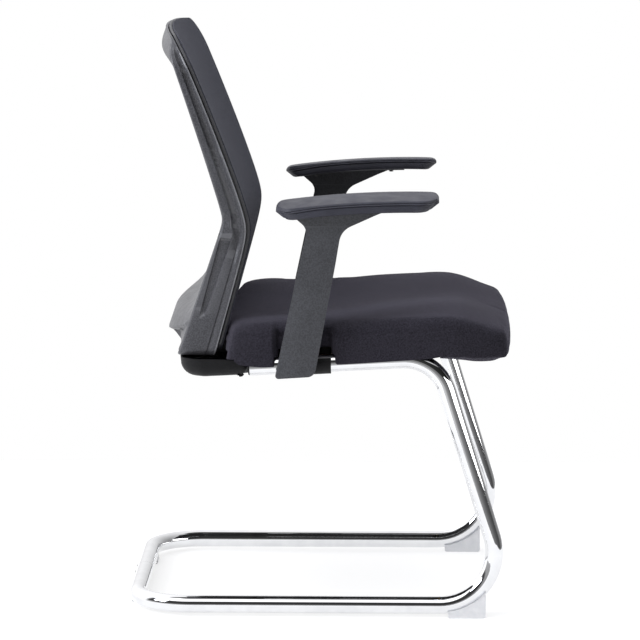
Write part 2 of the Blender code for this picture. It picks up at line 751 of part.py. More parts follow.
# Underside tray
def tray_plan():
    """Outline of the tray seen from above: narrow between the rails, wide and bowed behind them."""
    front, step, rear = TRAY_FRONT_Y, TRAY_STEP_Y, TRAY_REAR_Y
    narrow, wide = TRAY_HALF_WIDTH, TRAY_REAR_HALF_WIDTH
    right = [
        (narrow * 0.5, front), (narrow, front), (narrow, -0.10), (narrow, step), (wide, step),
        (wide, 0.150), (wide, rear), (0.150, rear + TRAY_BOW * 0.45), (0.075, rear + TRAY_BOW * 0.85),
    ]
    radii = [0.0, 0.045, 0.0, 0.004, 0.010, 0.0, 0.038, 0.0, 0.0]
    corners = right + [(0.0, rear + TRAY_BOW)] + [(-x, y) for x, y in reversed(right)]
    return rounded_outline(corners, radii + [0.0] + radii[::-1], math.radians(24.0))


def tray_rim(x, y):
    """Height of the rim: low beside the rails, and level at the rear, where the bracket crosses it."""
    bracket = 1.0 - blend(abs(x), BRACKET_HALF_WIDTH + 0.006, BRACKET_HALF_WIDTH + 0.024)
    level = BACK_BOTTOM - 0.0027 - 0.0036 * bracket
    rear = (level - seat_plane_height(y)) * math.cos(RAIL_RISE)
    return TRAY_SIDE_RIM + (rear - TRAY_SIDE_RIM) * blend(y, TRAY_STEP_Y, TRAY_STEP_Y + 0.02)


def make_tray(looks, plane):
    """Moulded dish: its plan outline is drawn in along a quarter round down to the floor."""
    plan = tray_plan()
    count = len(plan)
    loops = []
    levels = [(0.0, 0.0)] + [
        (1.0 - math.cos(angle), math.sin(angle)) for angle in [math.radians(a) for a in (22, 45, 68, 90)]
    ]
    for number, (inward, down) in enumerate(levels):
        loop = []
        for i, (x, y) in enumerate(plan):
            along = (plan[(i + 1) % count] - plan[i - 1]).normalized()
            radius = TRAY_CORNER + (TRAY_FRONT_ROUND - TRAY_CORNER) * (1.0 - blend(y, -0.18, -0.12))
            radius += (TRAY_REAR_ROUND - TRAY_CORNER) * blend(y, 0.17, 0.20)
            shift = Vector((-along.y, along.x)) * radius * inward
            deep = min(radius, TRAY_DEPTH + tray_rim(x, y) - 0.002)
            z = tray_rim(x, y) if number == 0 else -TRAY_DEPTH + deep * (1.0 - down)
            loop.append((x + shift.x, y + shift.y, z))
        loops.append(loop)
    mesh = loft("seat_tray", loops, caps=False)
    form = bmesh.new()
    form.from_mesh(mesh)
    floor_edges = [edge for edge in form.edges if abs(edge.verts[0].co.z + TRAY_DEPTH) < 0.0001]
    open_edges = [edge for edge in floor_edges if edge.is_boundary]
    bmesh.ops.contextual_create(form, geom=open_edges)
    tray = add_object("seat_tray", mesh_from_bmesh("seat_tray", form), looks["shell"], plane)
    down = sum(polygon.normal.z * polygon.area for polygon in tray.data.polygons)
    wall = tray.modifiers.new("wall", "SOLIDIFY")
    wall.thickness = TRAY_WALL
    wall.offset = -1.0 if down < 0 else 1.0
    apply_modifiers(tray)
    posts = []
    for side in (-1, 1):
        for y in (FRONT_CROSSBAR_Y, REAR_CROSSBAR_Y):
            posts.append(((side * TRAY_POST_X, y, -TRAY_DEPTH + 0.001), (side * TRAY_POST_X, y, 0.0)))
    change(tray, "UNION", cylinders("posts", TRAY_POST_RADIUS, posts, 12))
    spots = [(side * TRAY_POST_X, y) for y in (FRONT_CROSSBAR_Y, REAR_CROSSBAR_Y) for side in (-1, 1)]
    ways = upright_spans(spots, -0.06, 0.01)
    spaces = upright_spans(spots, -0.06, -TRAY_DEPTH + 0.003)
    change(tray, "DIFFERENCE", cylinders("screw_ways", TRAY_SCREW_RADIUS + GAP, ways, 8))
    change(tray, "DIFFERENCE", cylinders("head_spaces", 0.0048, spaces, 12))
    smooth(tray)
    seat = -TRAY_DEPTH + 0.003 - GAP
    profile = (
        (0.0, 0.0045), (TRAY_SCREW_RADIUS, 0.0035), (TRAY_SCREW_RADIUS, seat), (0.0042, seat),
        (0.0042, seat - 0.001), (0.003, seat - 0.0022), (0.0, seat - 0.0022),
    )
    points = [(x, y, 0.0) for x, y in spots]
    place_copies("tray_screw", turned("tray_screw", profile, 8), points, looks["zinc"], parent=plane)


# Arms
def arm_outline():
    """Side outline of the arm: upright with flared top, as (y, z) points."""
    top = arm_plate_height
    corners = [
        (0.0040, 0.3880), (0.0660, 0.3840), (0.0275, 0.5650), (0.0150, 0.6190), (0.0400, top(0.040) + 0.003),
        (-0.1200, top(-0.120) + 0.003), (-0.0900, 0.6400), (-0.0370, 0.6160), (-0.0285, 0.5650),
    ]
    radii = [0.014, 0.005, 0.150, 0.018, 0.0, 0.0, 0.060, 0.030, 0.150]
    return rounded_outline(corners, radii, math.radians(15.0))


def pad_top(y):
    """Height of the pad's top along its centre line."""
    return PAD_TOP - PAD_ARCH * (y - PAD_ARCH_Y) ** 2


def arm_plate_height(y):
    """Height of the arm's top, where the pad rests."""
    return pad_top(y) - PAD_THICKNESS - GAP


def spread(start, end, count):
    return [start + (end - start) * i / (count - 1) for i in range(count)]


def arm_layer(side, half_width, stations, low, high):
    """Band between two heights above the arm's top, following its arch and its tilt."""
    loops = []
    for y in stations:
        loop = []
        for across, lift in ((-1.0, high), (1.0, high), (1.0, low), (-1.0, low)):
            dx = across * half_width
            z = arm_plate_height(y) - dx * math.tan(PAD_TILT) + lift
            loop.append((side * (PAD_CENTRE_X + dx), y, z))
        loops.append(loop)
    return loft("layer", loops)


def make_arm(side, name, looks):
    x = side * (ARM_INNER_X + ARM_THICKNESS / 2)
    arm = add_object(name, side_prism(name, [arm_outline()], ARM_THICKNESS, x), looks["nylon"])
    bevel(arm, 0.004, 2, 50.0)
    stations = spread(ARM_PLATE_FRONT_Y - 0.04, ARM_PLATE_REAR_Y + 0.04, 9)
    change(arm, "DIFFERENCE", arm_layer(side, 0.08, stations, 0.0, 0.05))
    change(arm, "UNION", arm_plate(side, 0.0))
    return arm


def arm_plate(side, clearance):
    """Plate on top of the arm that sits in the pad's recess, larger by the clearance to cut the recess."""
    stations = spread(ARM_PLATE_FRONT_Y - clearance, ARM_PLATE_REAR_Y + clearance, 7)
    low = -0.003 if clearance else -0.0015
    high = ARM_PLATE_THICKNESS - GAP + clearance
    return arm_layer(side, ARM_PLATE_HALF_WIDTH + clearance, stations, low, high)


def arm_foot(side):
    """Foot that runs inward between the rail and the seat board, in the seat plane's own axes."""
    inner, outer = ARM_FOOT_INNER_X, ARM_INNER_X + 0.006
    low_x, high_x = sorted((side * inner, side * outer))
    half = ARM_FOOT_WIDTH / 2
    low = (low_x, ARM_FOOT_Y - half, GAP)
    high = (high_x, ARM_FOOT_Y + half, GAP + CROSSBAR_THICKNESS)
    return boxes("foot", ((low, high),))


def finish_arm(side, arm, plane):
    foot = add_object("foot", arm_foot(side), cutter=True)
    bevel(foot, 0.002, 2)
    mesh = foot.data
    bpy.data.objects.remove(foot)
    mesh.transform(plane.matrix_world)
    change(arm, "UNION", mesh)
    spots = [spot for spot in arm_bolt_spots() if spot[0] * side > 0]
    holes = cylinders("bolt_holes", BOLT_RADIUS + GAP, upright_spans(spots, -0.01, 0.03), 16)
    holes.transform(plane.matrix_world)
    change(arm, "DIFFERENCE", holes)
    ways = cylinders("screw_ways", 0.0023, [
        ((x, y, z - 0.03), (x, y, z + 0.03)) for x, y, z in pad_screw_spots(side)
    ], 12)
    change(arm, "DIFFERENCE", ways)
    smooth(arm)


def pad_screw_spots(side):
    """Underside points of the arm plate where the pad's screws enter."""
    inward = -0.019
    rise = -inward * math.tan(PAD_TILT)
    x = side * (PAD_CENTRE_X + inward)
    return [(x, y, arm_plate_height(y) + rise - 0.0015) for y in (-0.112, 0.012)]


def make_pad_screws(looks):
    profile = (
        (0.0, 0.0125), (0.0015, 0.0118), (0.0020, 0.0105), (0.0020, -0.0010), (0.0040, -0.0010),
        (0.0040, -0.0016), (0.0028, -0.0024), (0.0, -0.0024),
    )
    points = [spot for side in (-1, 1) for spot in pad_screw_spots(side)]
    place_copies("pad_screw", turned("pad_screw", profile, 8), points, looks["zinc"])


def make_arm_saddle(side, name, looks):
    """Half sleeve clipped on the rail behind the arm."""
    inner = TUBE_RADIUS + GAP
    outer = inner + SADDLE_WALL - GAP
    steps = 9
    start, end = math.radians(36.0), math.radians(-96.0)
    arc = [start + (end - start) * i / steps for i in range(steps + 1)]
    section = [(outer * math.cos(a), outer * math.sin(a)) for a in arc]
    section += [(inner * math.cos(a), inner * math.sin(a)) for a in reversed(arc)]
    loops = []
    for y in (SADDLE_FRONT_Y, SADDLE_REAR_Y):
        centre_z = RAIL_END_Z + (RAIL_END_Y - y) * math.tan(RAIL_RISE)
        loops.append([(side * (FRAME_HALF_WIDTH + across), y, centre_z + up) for across, up in section])
    smooth(add_object(name, loft(name, loops), looks["shell"]))


def pad_extent(y, inward):
    """How far the pad reaches from its centre line at y; its outer corners are rounder."""
    corner = PAD_INNER_CORNER if inward else PAD_OUTER_CORNER
    setback = 0.0 if inward else 0.006
    past = max(PAD_FRONT_Y + setback + corner - y, y - PAD_REAR_Y + setback + corner, 0.0)
    return PAD_HALF_WIDTH - corner * (1.0 - math.sqrt(max(0.0, 1.0 - (past / corner) ** 2)))


def make_pad(side, name, looks):
    """Arm pad with a rounded upper edge and a flat band below it, gently arched and tilted outward."""
    length = PAD_REAR_Y - PAD_FRONT_Y
    ends = (0.0008, 0.003, 0.008, 0.016, 0.028)
    distances = [*ends, 0.06, 0.10, 0.145, 0.19, *[length - end for end in reversed(ends)]]
    loops = []
    for distance in distances:
        y = PAD_FRONT_Y + distance
        near = min(1.0, min(distance, length - distance) / PAD_END_ROUND)
        swell = math.sqrt(1.0 - (1.0 - near) ** 2)
        loop = []
        for across, height in (
            (-0.94, 0.0), (-1.0, 0.12), (-1.0, 0.55), (-0.965, 0.78), (-0.86, 0.95), (-0.45, 1.02),
            (0.45, 1.02), (0.86, 0.95), (0.965, 0.78), (1.0, 0.55), (1.0, 0.12), (0.94, 0.0),
        ):
            reach = pad_extent(y, across < 0) - 0.006 * (1.0 - swell)
            dx = reach * across
            rise = (0.35 + (height - 0.35) * (0.45 + 0.55 * swell)) * PAD_THICKNESS
            z = pad_top(y) - PAD_THICKNESS - dx * math.tan(PAD_TILT) + rise
            loop.append((side * (PAD_CENTRE_X + dx), y, z))
        loops.append(loop)
    pad = add_object(name, loft(name, loops), looks["pad"])
    change(pad, "DIFFERENCE", arm_plate(side, 2 * GAP))
    ways = cylinders("screw_ways", 0.0023, [
        ((x, y, z - 0.02), (x, y, z + 0.0132)) for x, y, z in pad_screw_spots(side)
    ], 12)
    change(pad, "DIFFERENCE", ways)
    smooth(pad, 40.0)


# Back
def waist_line(d, slope, lean, radius, curl):
    """How far a back line lies behind its waist, d above it: two slopes meeting in a round waist."""
    return lean * d + math.hypot(slope * d, radius) - radius + curl * max(0.0, d) ** 2


def back_front(z):
    """Side profile of the back frame's front edge, which starts at the back's foot."""
    foot = waist_line(BACK_BOTTOM - WAIST_HEIGHT, 0.31, 0.03, 0.0067, 0.17)
    return BACK_FOOT_Y + waist_line(z - WAIST_HEIGHT, 0.31, 0.03, 0.0067, 0.17) - foot


def back_rear(z):
    """Side profile of the uprights' rear edge, with a tighter waist a little higher."""
    waist = WAIST_HEIGHT + WAIST_REAR_RISE
    foot = waist_line(BACK_BOTTOM - waist, 0.325, -0.02, 0.003, 0.08)
    return BACK_FOOT_Y + BACK_FOOT_DEPTH + waist_line(z - waist, 0.325, -0.02, 0.003, 0.08) - foot


def across_sag(x):
    """How far the back is set rearward at x, hollow toward the sitter."""
    return BACK_SAG * (1.0 - min(1.0, (x / BACK_HALF_WIDTH) ** 2))


def back_surface(x, z):
    return back_front(z) + across_sag(x)


def rear_surface(x, z):
    """Rear face: the uprights' line, the handle-like top rail and the bulging lower shell.

    The bulge ends in an undercut that rises toward the sides, above a narrower skirt.
    """
    share = min(1.0, (x / (BACK_HALF_WIDTH - 0.006)) ** 2)
    middle = 1.0 - share
    undercut = BACK_BOTTOM + 0.014 + 0.036 * share
    skirt = 0.66 * blend(undercut - z, -0.005, 0.003) + 0.34 * blend(z, undercut, BACK_BOTTOM)
    lower = blend(WINDOW_BOTTOM - z, 0.0055, 0.0390) * (1.0 - skirt)
    upper = blend(BACK_TOP - z, 0.059, 0.033)
    crest = blend(BACK_TOP - z, -0.011, 0.033)
    bulge = 0.031 * lower * middle ** 0.9
    handle = upper * (0.025 * middle - 0.022 * (1.0 - crest))
    return max(back_rear(z) + bulge + handle, back_surface(x, z) + BACK_RIM)


def crowned(x, z):
    """Lift the top edge toward the middle."""
    share = min(1.0, max(0.0, (z - BACK_TOP) / 0.105 + 1.0))
    return z + BACK_CROWN * share * (1.0 - min(1.0, (x / BACK_HALF_WIDTH) ** 2))


def contour(half_width, top, bottom, top_corner, bottom_corner, counts):
    """Right half of a rounded outline, from the top middle to the bottom middle, as (x, z) with normals."""
    edge, corner, flank = counts
    points = []
    for i in range(edge):
        points.append((i / edge * (half_width - top_corner), top, 0.0, 1.0))
    for i in range(corner):
        angle = math.pi / 2 * i / corner
        nx, nz = math.sin(angle), math.cos(angle)
        points.append((half_width - top_corner * (1.0 - nx), top - top_corner * (1.0 - nz), nx, nz))
    for i in range(flank):
        z = top - top_corner + (bottom + bottom_corner - top + top_corner) * i / flank
        points.append((half_width, z, 1.0, 0.0))
    for i in range(corner):
        angle = math.pi / 2 * i / corner
        nx, nz = math.cos(angle), -math.sin(angle)
        points.append((half_width - bottom_corner * (1.0 - nx), bottom + bottom_corner * (1.0 + nz), nx, nz))
    for i in range(edge + 1):
        points.append(((1.0 - i / edge) * (half_width - bottom_corner), bottom, 0.0, -1.0))
    return points


def side_relief(z):
    """Share of the depth and sinking of six points across the upright's outer face.

    A narrow lip runs along the front. Above the waist a flute deepens toward a step behind the lip. Below
    it a flat recess lies behind a wide front band.
    """
    above = z - WAIST_HEIGHT
    below = blend(above, 0.012, -0.006)
    flute = blend(above, 0.018, 0.026) * blend(BACK_TOP - z, 0.014, 0.030)
    recess = blend(above, -0.012, -0.020) * blend(z - BACK_BOTTOM, 0.064, 0.082)
    upper = ((0.05, 0.0), (0.09, 0.0012), (0.28, 0.0017), (0.49, 0.0026), (0.535, 0.0), (0.90, 0.0))
    lower = ((0.05, 0.0), (0.09, 0.0009), (0.49, 0.0), (0.53, 0.0023), (0.84, 0.0023), (0.88, 0.0))
    relief = []
    for (share_up, sink_up), (share_low, sink_low) in zip(upper, lower):
        share = share_up + (share_low - share_up) * below
        relief.append((share, sink_up * flute + sink_low * recess))
    return relief


def back_outline():
    """Right half of the back's outer outline; moulding, inner frame and fabric share its stations."""
    return contour(
        BACK_HALF_WIDTH, BACK_TOP, BACK_BOTTOM, BACK_TOP_CORNER, BACK_BOTTOM_CORNER, BACK_STATIONS
    )


def sunk(station, depth):
    """Point of the outline moved inward, as (x, z)."""
    x, z, nx, nz = station
    return max(0.0, x - nx * depth), z - nz * depth


def lowered(station, drop):
    """Station of the outline let down by the drop where it faces up, and less where it faces sideways."""
    x, z, nx, nz = station
    return x, z - drop * max(0.0, nz), nx, nz


def inset_at(station, inset):
    """Inset of the inner frame or the fabric, which close in on the outline along the top."""
    return inset * (1.0 - 0.8 * max(0.0, station[3]))


def back_frame_section(outer, window):
    """Closed section of the moulding: front lip, outer face, rear face, window flange, inside face."""
    outer = lowered(outer, TOP_RAIL_DROP)
    ox, oz, nx, nz = outer
    wx, wz, window_nx, window_nz = window
    front = back_surface(ox, oz)
    rear = rear_surface(ox, oz)
    depth = rear - front
    wall = min(BACK_WALL, depth * 0.35)
    above = oz - WAIST_HEIGHT
    waist = blend(above, -0.014, -0.008) * blend(above, 0.022, 0.016) * abs(nx)
    facet = 0.0030 * waist
    relief = []
    for share, sink in side_relief(oz):
        relief.append((share, sink * abs(nx) + 0.0022 * waist * blend(share, 0.5, 0.9)))
    points = []

    def add(x, z, y):
        points.append((x, y, crowned(x, z)))

    for inset in (BACK_LIP, 0.0010):
        x, z = sunk(outer, inset)
        add(x, z, back_surface(x, z))
    add(ox, oz, front + depth * 0.03)
    for share, sink in relief:
        add(*sunk(outer, sink), front + depth * share)
    add(*sunk(outer, facet + 0.0006), front + depth * 0.955)
    x, z = sunk(outer, facet + 0.0030)
    add(x, z, rear - 0.0005)
    across = [(x + (wx - x) * share, z + (wz - z) * share) for share in ACROSS_SHARES]
    for px, pz in across:
        add(px, pz, rear_surface(px, pz))
    rim = rear_surface(wx, wz)
    add(wx, wz, rim - 0.003)
    add(wx, wz, rim - WINDOW_FLANGE)
    ix, iz = wx + window_nx * BACK_WALL, wz + window_nz * BACK_WALL
    add(ix, iz, rim - WINDOW_FLANGE)
    add(ix, iz, min(rim, rear_surface(ix, iz)) - BACK_WALL)
    for share, (px, pz) in reversed(list(zip(ACROSS_SHARES, across))):
        if 0.2 < share < 0.8:
            add(px, pz, rear_surface(px, pz) - wall)
    add(*sunk(outer, facet + wall), rear - depth * 0.02 - wall)
    for share, sink in reversed(relief[2:5]):
        add(*sunk(outer, sink + wall), front + depth * min(0.58, max(0.42, share)))
    add(*sunk(outer, wall), front + wall)
    x, z = sunk(outer, BACK_LIP)
    add(x, z, back_surface(x, z) + wall)
    return points


def make_back_frame(looks):
    window = contour(
        WINDOW_HALF_WIDTH, WINDOW_TOP, WINDOW_BOTTOM, WINDOW_TOP_CORNER, WINDOW_BOTTOM_CORNER, BACK_STATIONS
    )
    loops = [back_frame_section(*pair) for pair in zip(back_outline(), window)]
    loops += [[(-x, y, z) for x, y, z in loop] for loop in loops[-2:0:-1]]
    mesh = loft("back_frame", loops, closed_run=True, caps=False)
    frame = add_object("back_frame", mesh, looks["nylon"])
    spots = back_bolt_spots()
    change(frame, "DIFFERENCE", cylinders(
        "bolt_holes", BOLT_RADIUS + GAP, upright_spans(spots, BACK_BOTTOM - 0.01, BACK_BOTTOM + 0.01), 12))
    smooth(frame, 32.0)


def make_inner_frame(looks):
    section = (
        (0.0, -INNER_FRAME_DEPTH + 0.0015), (0.0, -0.0020), (0.0018, -0.0016), (0.0018, -GAP),
        (INNER_FRAME_WIDTH - 0.002, -GAP), (INNER_FRAME_WIDTH, -0.002),
        (INNER_FRAME_WIDTH, -INNER_FRAME_DEPTH), (0.0015, -INNER_FRAME_DEPTH),
    )
    loops = []
    for station in back_outline():
        loop = []
        for depth, forward in section:
            x, z = sunk(station, inset_at(station, INNER_FRAME_INSET) + depth)
            loop.append((x, back_surface(x, z) + forward, crowned(x, z)))
        loops.append(loop)
    loops += [[(-x, y, z) for x, y, z in loop] for loop in loops[-2:0:-1]]
    mesh = loft("back_inner_frame", loops, closed_run=True, caps=False)
    smooth(add_object("back_inner_frame", mesh, looks["shell"]))


def make_back_mesh(looks):
    """Fabric panel stretched over the front of the inner frame."""
    edge = BACK_STATIONS[0]
    loops = []
    for station in back_outline()[edge:-edge]:
        reach, z = sunk(station, inset_at(station, MESH_INSET))
        loop = []
        for i in range(MESH_COLUMNS + 1):
            x = reach * (2.0 * i / MESH_COLUMNS - 1.0)
            loop.append((x, back_surface(x, z) - INNER_FRAME_DEPTH - GAP, crowned(x, z)))
        loops.append(loop)
    mesh = loft("back_mesh", loops, closed_loops=False, caps=False)
    panel = add_object("back_mesh", mesh, looks["mesh"])
    facing = sum(polygon.normal.y for polygon in mesh.polygons)
    step = panel.modifiers.new("fabric", "SOLIDIFY")
    step.thickness = MESH_THICKNESS
    step.offset = -1.0 if facing > 0 else 1.0
    apply_modifiers(panel)
    smooth(panel)


def back_bolt_spots():
    return [(side * x, BACK_BOLT_Y) for side in (-1, 1) for x in BACK_BOLT_X]


def make_bracket(looks, plane):
    """Cranked steel plate from under the rear seat crossbar to under the back frame."""
    under = BACK_BOTTOM - GAP
    start_y = REAR_CROSSBAR_Y - CROSSBAR_WIDTH / 2
    start = plane.matrix_world @ Vector((0.0, start_y, -GAP))
    bend_z = plane.matrix_world @ Vector((0.0, BRACKET_BEND_Y - 0.010, -GAP))
    t = BRACKET_THICKNESS
    outline = [
        (start.y, start.z), (bend_z.y, bend_z.z), (BRACKET_BEND_Y + 0.012, under), (BRACKET_REAR_Y, under),
        (BRACKET_REAR_Y, under - t), (BRACKET_BEND_Y + 0.011, under - t), (bend_z.y, bend_z.z - t),
        (start.y, start.z - t),
    ]
    bracket = add_object(
        "back_bracket", side_prism("back_bracket", [outline], 2 * BRACKET_HALF_WIDTH, 0.0), looks["steel"])
    holes = cylinders("seat_holes", BOLT_RADIUS + GAP, upright_spans(seat_bolt_spots()[2:], -0.03, 0.01), 12)
    holes.transform(plane.matrix_world)
    change(bracket, "DIFFERENCE", holes)
    change(bracket, "DIFFERENCE", cylinders(
        "back_holes", BOLT_RADIUS + GAP, upright_spans(back_bolt_spots(), under - 0.02, under + 0.01), 12))
    head = under - t - GAP
    top = BACK_BOTTOM + BACK_WALL
    profile = (
        (0.0, top + 0.009), (BOLT_RADIUS * 0.8, top + 0.009), (BOLT_RADIUS, top + 0.0082), (BOLT_RADIUS, head),
        (BOLT_HEAD_RADIUS, head), (BOLT_HEAD_RADIUS, head - BOLT_HEAD_HEIGHT * 0.5),
        (BOLT_HEAD_RADIUS * 0.7, head - BOLT_HEAD_HEIGHT), (0.0, head - BOLT_HEAD_HEIGHT),
    )
    points = [(x, y, 0.0) for x, y in back_bolt_spots()]
    place_copies("back_bolt", turned("back_bolt", profile), points, looks["zinc"])
    span = ((0, 0, top + GAP), (0, 0, top + NUT_HEIGHT))
    nut = add_object("nut", cylinders("nut", NUT_RADIUS, (span,), 6))
    change(nut, "DIFFERENCE", cylinders("nut_hole", BOLT_RADIUS + GAP, (((0, 0, 0), (0, 0, 1)),), 12))
    nut_mesh = nut.data
    bpy.data.objects.remove(nut)
    place_copies("back_nut", nut_mesh, points, looks["zinc"])


def main():
    clear_scene()
    looks = make_materials()
    plane = seat_empty()
    for side, word in ((-1, "left"), (1, "right")):
        make_frame(side, "frame_tube_" + word, looks)
        make_rail_plug(side, "rail_plug_" + word, looks)
        make_front_glide(side, "front_glide_" + word, looks)
        make_rear_glide(side, "rear_glide_" + word, looks)
        arm = make_arm(side, "arm_" + word, looks)
        finish_arm(side, arm, plane)
        make_arm_saddle(side, "arm_saddle_" + word, looks)
        make_pad(side, "arm_pad_" + word, looks)
    make_joint(looks)
    make_seat_crossbar("seat_crossbar_front", FRONT_CROSSBAR_Y, looks, plane)
    make_seat_crossbar("seat_crossbar_rear", REAR_CROSSBAR_Y, looks, plane)
    make_seat_pan(looks, plane)
    make_fasteners(looks, plane)
    make_cushion(looks, plane)
    make_tray(looks, plane)
    make_pad_screws(looks)
    make_back_frame(looks)
    make_inner_frame(looks)
    make_back_mesh(looks)
    make_bracket(looks, plane)


main()
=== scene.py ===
"""Looks of the visitor chair: fine meshes, materials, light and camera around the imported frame.

Metres, +Z up, the chair faces -Y. The photograph sees it from -X.
"""
import math

import bmesh
import bpy
from mathutils import Matrix, Vector
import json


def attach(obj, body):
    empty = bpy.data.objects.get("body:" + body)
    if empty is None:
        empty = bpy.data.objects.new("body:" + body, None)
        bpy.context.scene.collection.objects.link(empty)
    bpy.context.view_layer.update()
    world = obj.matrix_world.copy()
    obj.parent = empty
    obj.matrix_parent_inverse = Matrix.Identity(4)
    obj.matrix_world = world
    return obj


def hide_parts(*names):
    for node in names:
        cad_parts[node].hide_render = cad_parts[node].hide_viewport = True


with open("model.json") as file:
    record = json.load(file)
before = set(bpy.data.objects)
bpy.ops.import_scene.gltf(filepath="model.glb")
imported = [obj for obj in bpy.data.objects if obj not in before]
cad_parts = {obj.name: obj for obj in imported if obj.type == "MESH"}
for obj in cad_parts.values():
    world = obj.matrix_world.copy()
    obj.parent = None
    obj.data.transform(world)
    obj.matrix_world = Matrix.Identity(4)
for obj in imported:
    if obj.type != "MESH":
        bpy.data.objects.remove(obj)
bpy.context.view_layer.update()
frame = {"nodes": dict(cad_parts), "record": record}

# Camera
CAMERA_PLACE = (-5.98, -0.1325, 1.37964)
CAMERA_PITCH = math.radians(8.9947)
CAMERA_YAW = math.radians(1.2859)
CAMERA_LENS = 210.375

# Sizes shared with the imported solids
GAP = 0.0003
TUBE_RADIUS = 0.014
TUBE_WALL = 0.002
FRAME_HALF_WIDTH = 0.241
RUNNER_HEIGHT = 0.018
FLOOR_BEND_RADIUS = 0.085
TOP_BEND_RADIUS = 0.07
LEG_LEAN = math.radians(17.1)
RAIL_RISE = math.radians(3.0)
RAIL_END_Y = 0.106
RAIL_END_Z = 0.397
FLOOR_CORNER_Y = -0.307
CROSSBAR_Y = 0.288
CROSSBAR_THICKNESS = 0.0117
PAN_BOTTOM = CROSSBAR_THICKNESS + 2 * GAP
PAN_THICKNESS = 0.012
PAN_HALF_WIDTH = 0.222
PAN_FRONT_Y = -0.258
FRONT_CROSSBAR_Y = -0.112
REAR_CROSSBAR_Y = 0.082
BRACKET_HALF_WIDTH = 0.15
TRAY_DEPTH = 0.0292
TRAY_WALL = 0.003
TRAY_HALF_WIDTH = FRAME_HALF_WIDTH - 0.019
TRAY_REAR_HALF_WIDTH = FRAME_HALF_WIDTH - 0.0025
TRAY_FRONT_Y = -0.184
TRAY_STEP_Y = 0.1098
TRAY_REAR_Y = 0.214
TRAY_BOW = 0.012
TRAY_CORNER = 0.018
TRAY_FRONT_ROUND = 0.036
TRAY_REAR_ROUND = 0.024
TRAY_SIDE_RIM = -0.0085
TRAY_POST_RADIUS = 0.007
TRAY_SCREW_RADIUS = 0.002
TRAY_SCREW_HEAD_RADIUS = 0.0048
TRAY_POST_X = 0.17
CUSHION_HALF_WIDTH = 0.263
CUSHION_FRONT_Y = -0.3034
CUSHION_REAR_Y = 0.149
CUSHION_REAR_LEAN = 0.3
CUSHION_REAR_BOW = 0.016
CUSHION_TOP = 0.054
CUSHION_BOTTOM = -0.0105
CUSHION_NOSE_DROP = 0.013
CUSHION_WAIST = 0.016
CUSHION_WAIST_FRONT_Y = -0.036
CUSHION_WAIST_REAR_Y = 0.074
CUSHION_DISH = 0.011
CROSSBAR_HALF_LENGTH = FRAME_HALF_WIDTH + 0.0015
RAIL_RECESS_HALF_WIDTH = FRAME_HALF_WIDTH + 0.0145
RAIL_RECESS_FRONT_Y = -0.19
RECESS_REAR_Y = 0.2
ARM_INNER_X = 0.2585
ARM_THICKNESS = 0.022
ARM_FOOT_INNER_X = 0.16
ARM_FOOT_WIDTH = 0.052
ARM_FOOT_Y = 0.027
ARM_TOP_FRONT_Y = -0.12
ARM_OVERLAP = 0.003
ARM_PLATE_THICKNESS = 0.005
ARM_PLATE_REAR_Y = 0.04
ARM_PLATE_FRONT_Y = -0.134
ARM_PLATE_HALF_WIDTH = 0.028
PAD_CENTRE_X = 0.262
PAD_HALF_WIDTH = 0.042
PAD_THICKNESS = 0.0178
PAD_FRONT_Y = -0.188
PAD_REAR_Y = 0.064
PAD_TOP = 0.6675
PAD_TILT = math.radians(4.5)
PAD_ARCH = 0.34
PAD_ARCH_Y = -0.145
PAD_END_ROUND = 0.009
PAD_INNER_CORNER = 0.018
PAD_OUTER_CORNER = 0.026
PAD_OUTER_SETBACK = 0.006
BACK_HALF_WIDTH = 0.222
BACK_TOP = 0.905
BACK_CROWN = 0.012
BACK_BOTTOM = 0.4101
BACK_TOP_CORNER = 0.055
BACK_BOTTOM_CORNER = 0.024
BACK_WALL = 0.003
BACK_LIP = 0.01
LIP_WIDTH = 0.0016
FLUTE = (
    (0.08, 0.0), (0.145, 0.0004), (0.22, 0.005), (0.54, 0.006), (0.6, 0.0), (0.64, 0.0), (0.84, 0.0),
    (0.9, 0.0),
)
BELOW_WAIST = ((0.08, 0.0), (0.15, 0.0003), (0.24, 0.0017), (0.27, 0.0))
RECESS_SINK = 0.0036
FACET_SINK = 0.003
BACK_STATIONS = (14, 14, 110)
BACK_SAG = 0.024
WINDOW_HALF_WIDTH = BACK_HALF_WIDTH - 0.034
WINDOW_TOP = BACK_TOP - 0.049
WINDOW_BOTTOM = BACK_BOTTOM + 0.0889
WINDOW_TOP_CORNER = 0.024
WINDOW_BOTTOM_CORNER = 0.056
WINDOW_FLANGE = 0.01
WAIST_HEIGHT = 0.61
WAIST_REAR_RISE = 0.014
BACK_FOOT_Y = 0.16113
BACK_FOOT_DEPTH = 0.05923
BACK_RIM = 0.004
TOP_RAIL_DROP = 0.003
INNER_FRAME_INSET = 0.005
INNER_FRAME_WIDTH = 0.014
INNER_FRAME_DEPTH = 0.0072
MESH_INSET = 0.007

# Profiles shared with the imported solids; the first two are slope, lean, waist radius and curl
FRONT_PROFILE = (0.31, 0.03, 0.0067, 0.17)
REAR_PROFILE = (0.325, -0.02, 0.003, 0.08)
SHELL_BULGE = 0.031
HANDLE_BULGE = 0.025
HANDLE_TUCK = 0.022
UNDERCUT_RISE = 0.014
UNDERCUT_SIDE_RISE = 0.036
CROWN_REACH = 0.105
RIDGE_X = 0.195
RIDGE_FRONT_X = 0.14
RIDGE_WIDTH = 0.085
ARM_ROUND_Y = 0.005
ARM_ROUND_DIP = 0.004
NOSE_FALL = 0.034
TAIL_FALL = 0.003

# Finer meshes
FINE_STEP = math.radians(5.0)
MERGE_DISTANCE = 0.000005
TUBE_RESOLUTION = 14
ACROSS_SHARES = tuple((i + 0.5) / 40 for i in range(1, 39))
MOULDING_BOTTOM_CORNER = 0.012
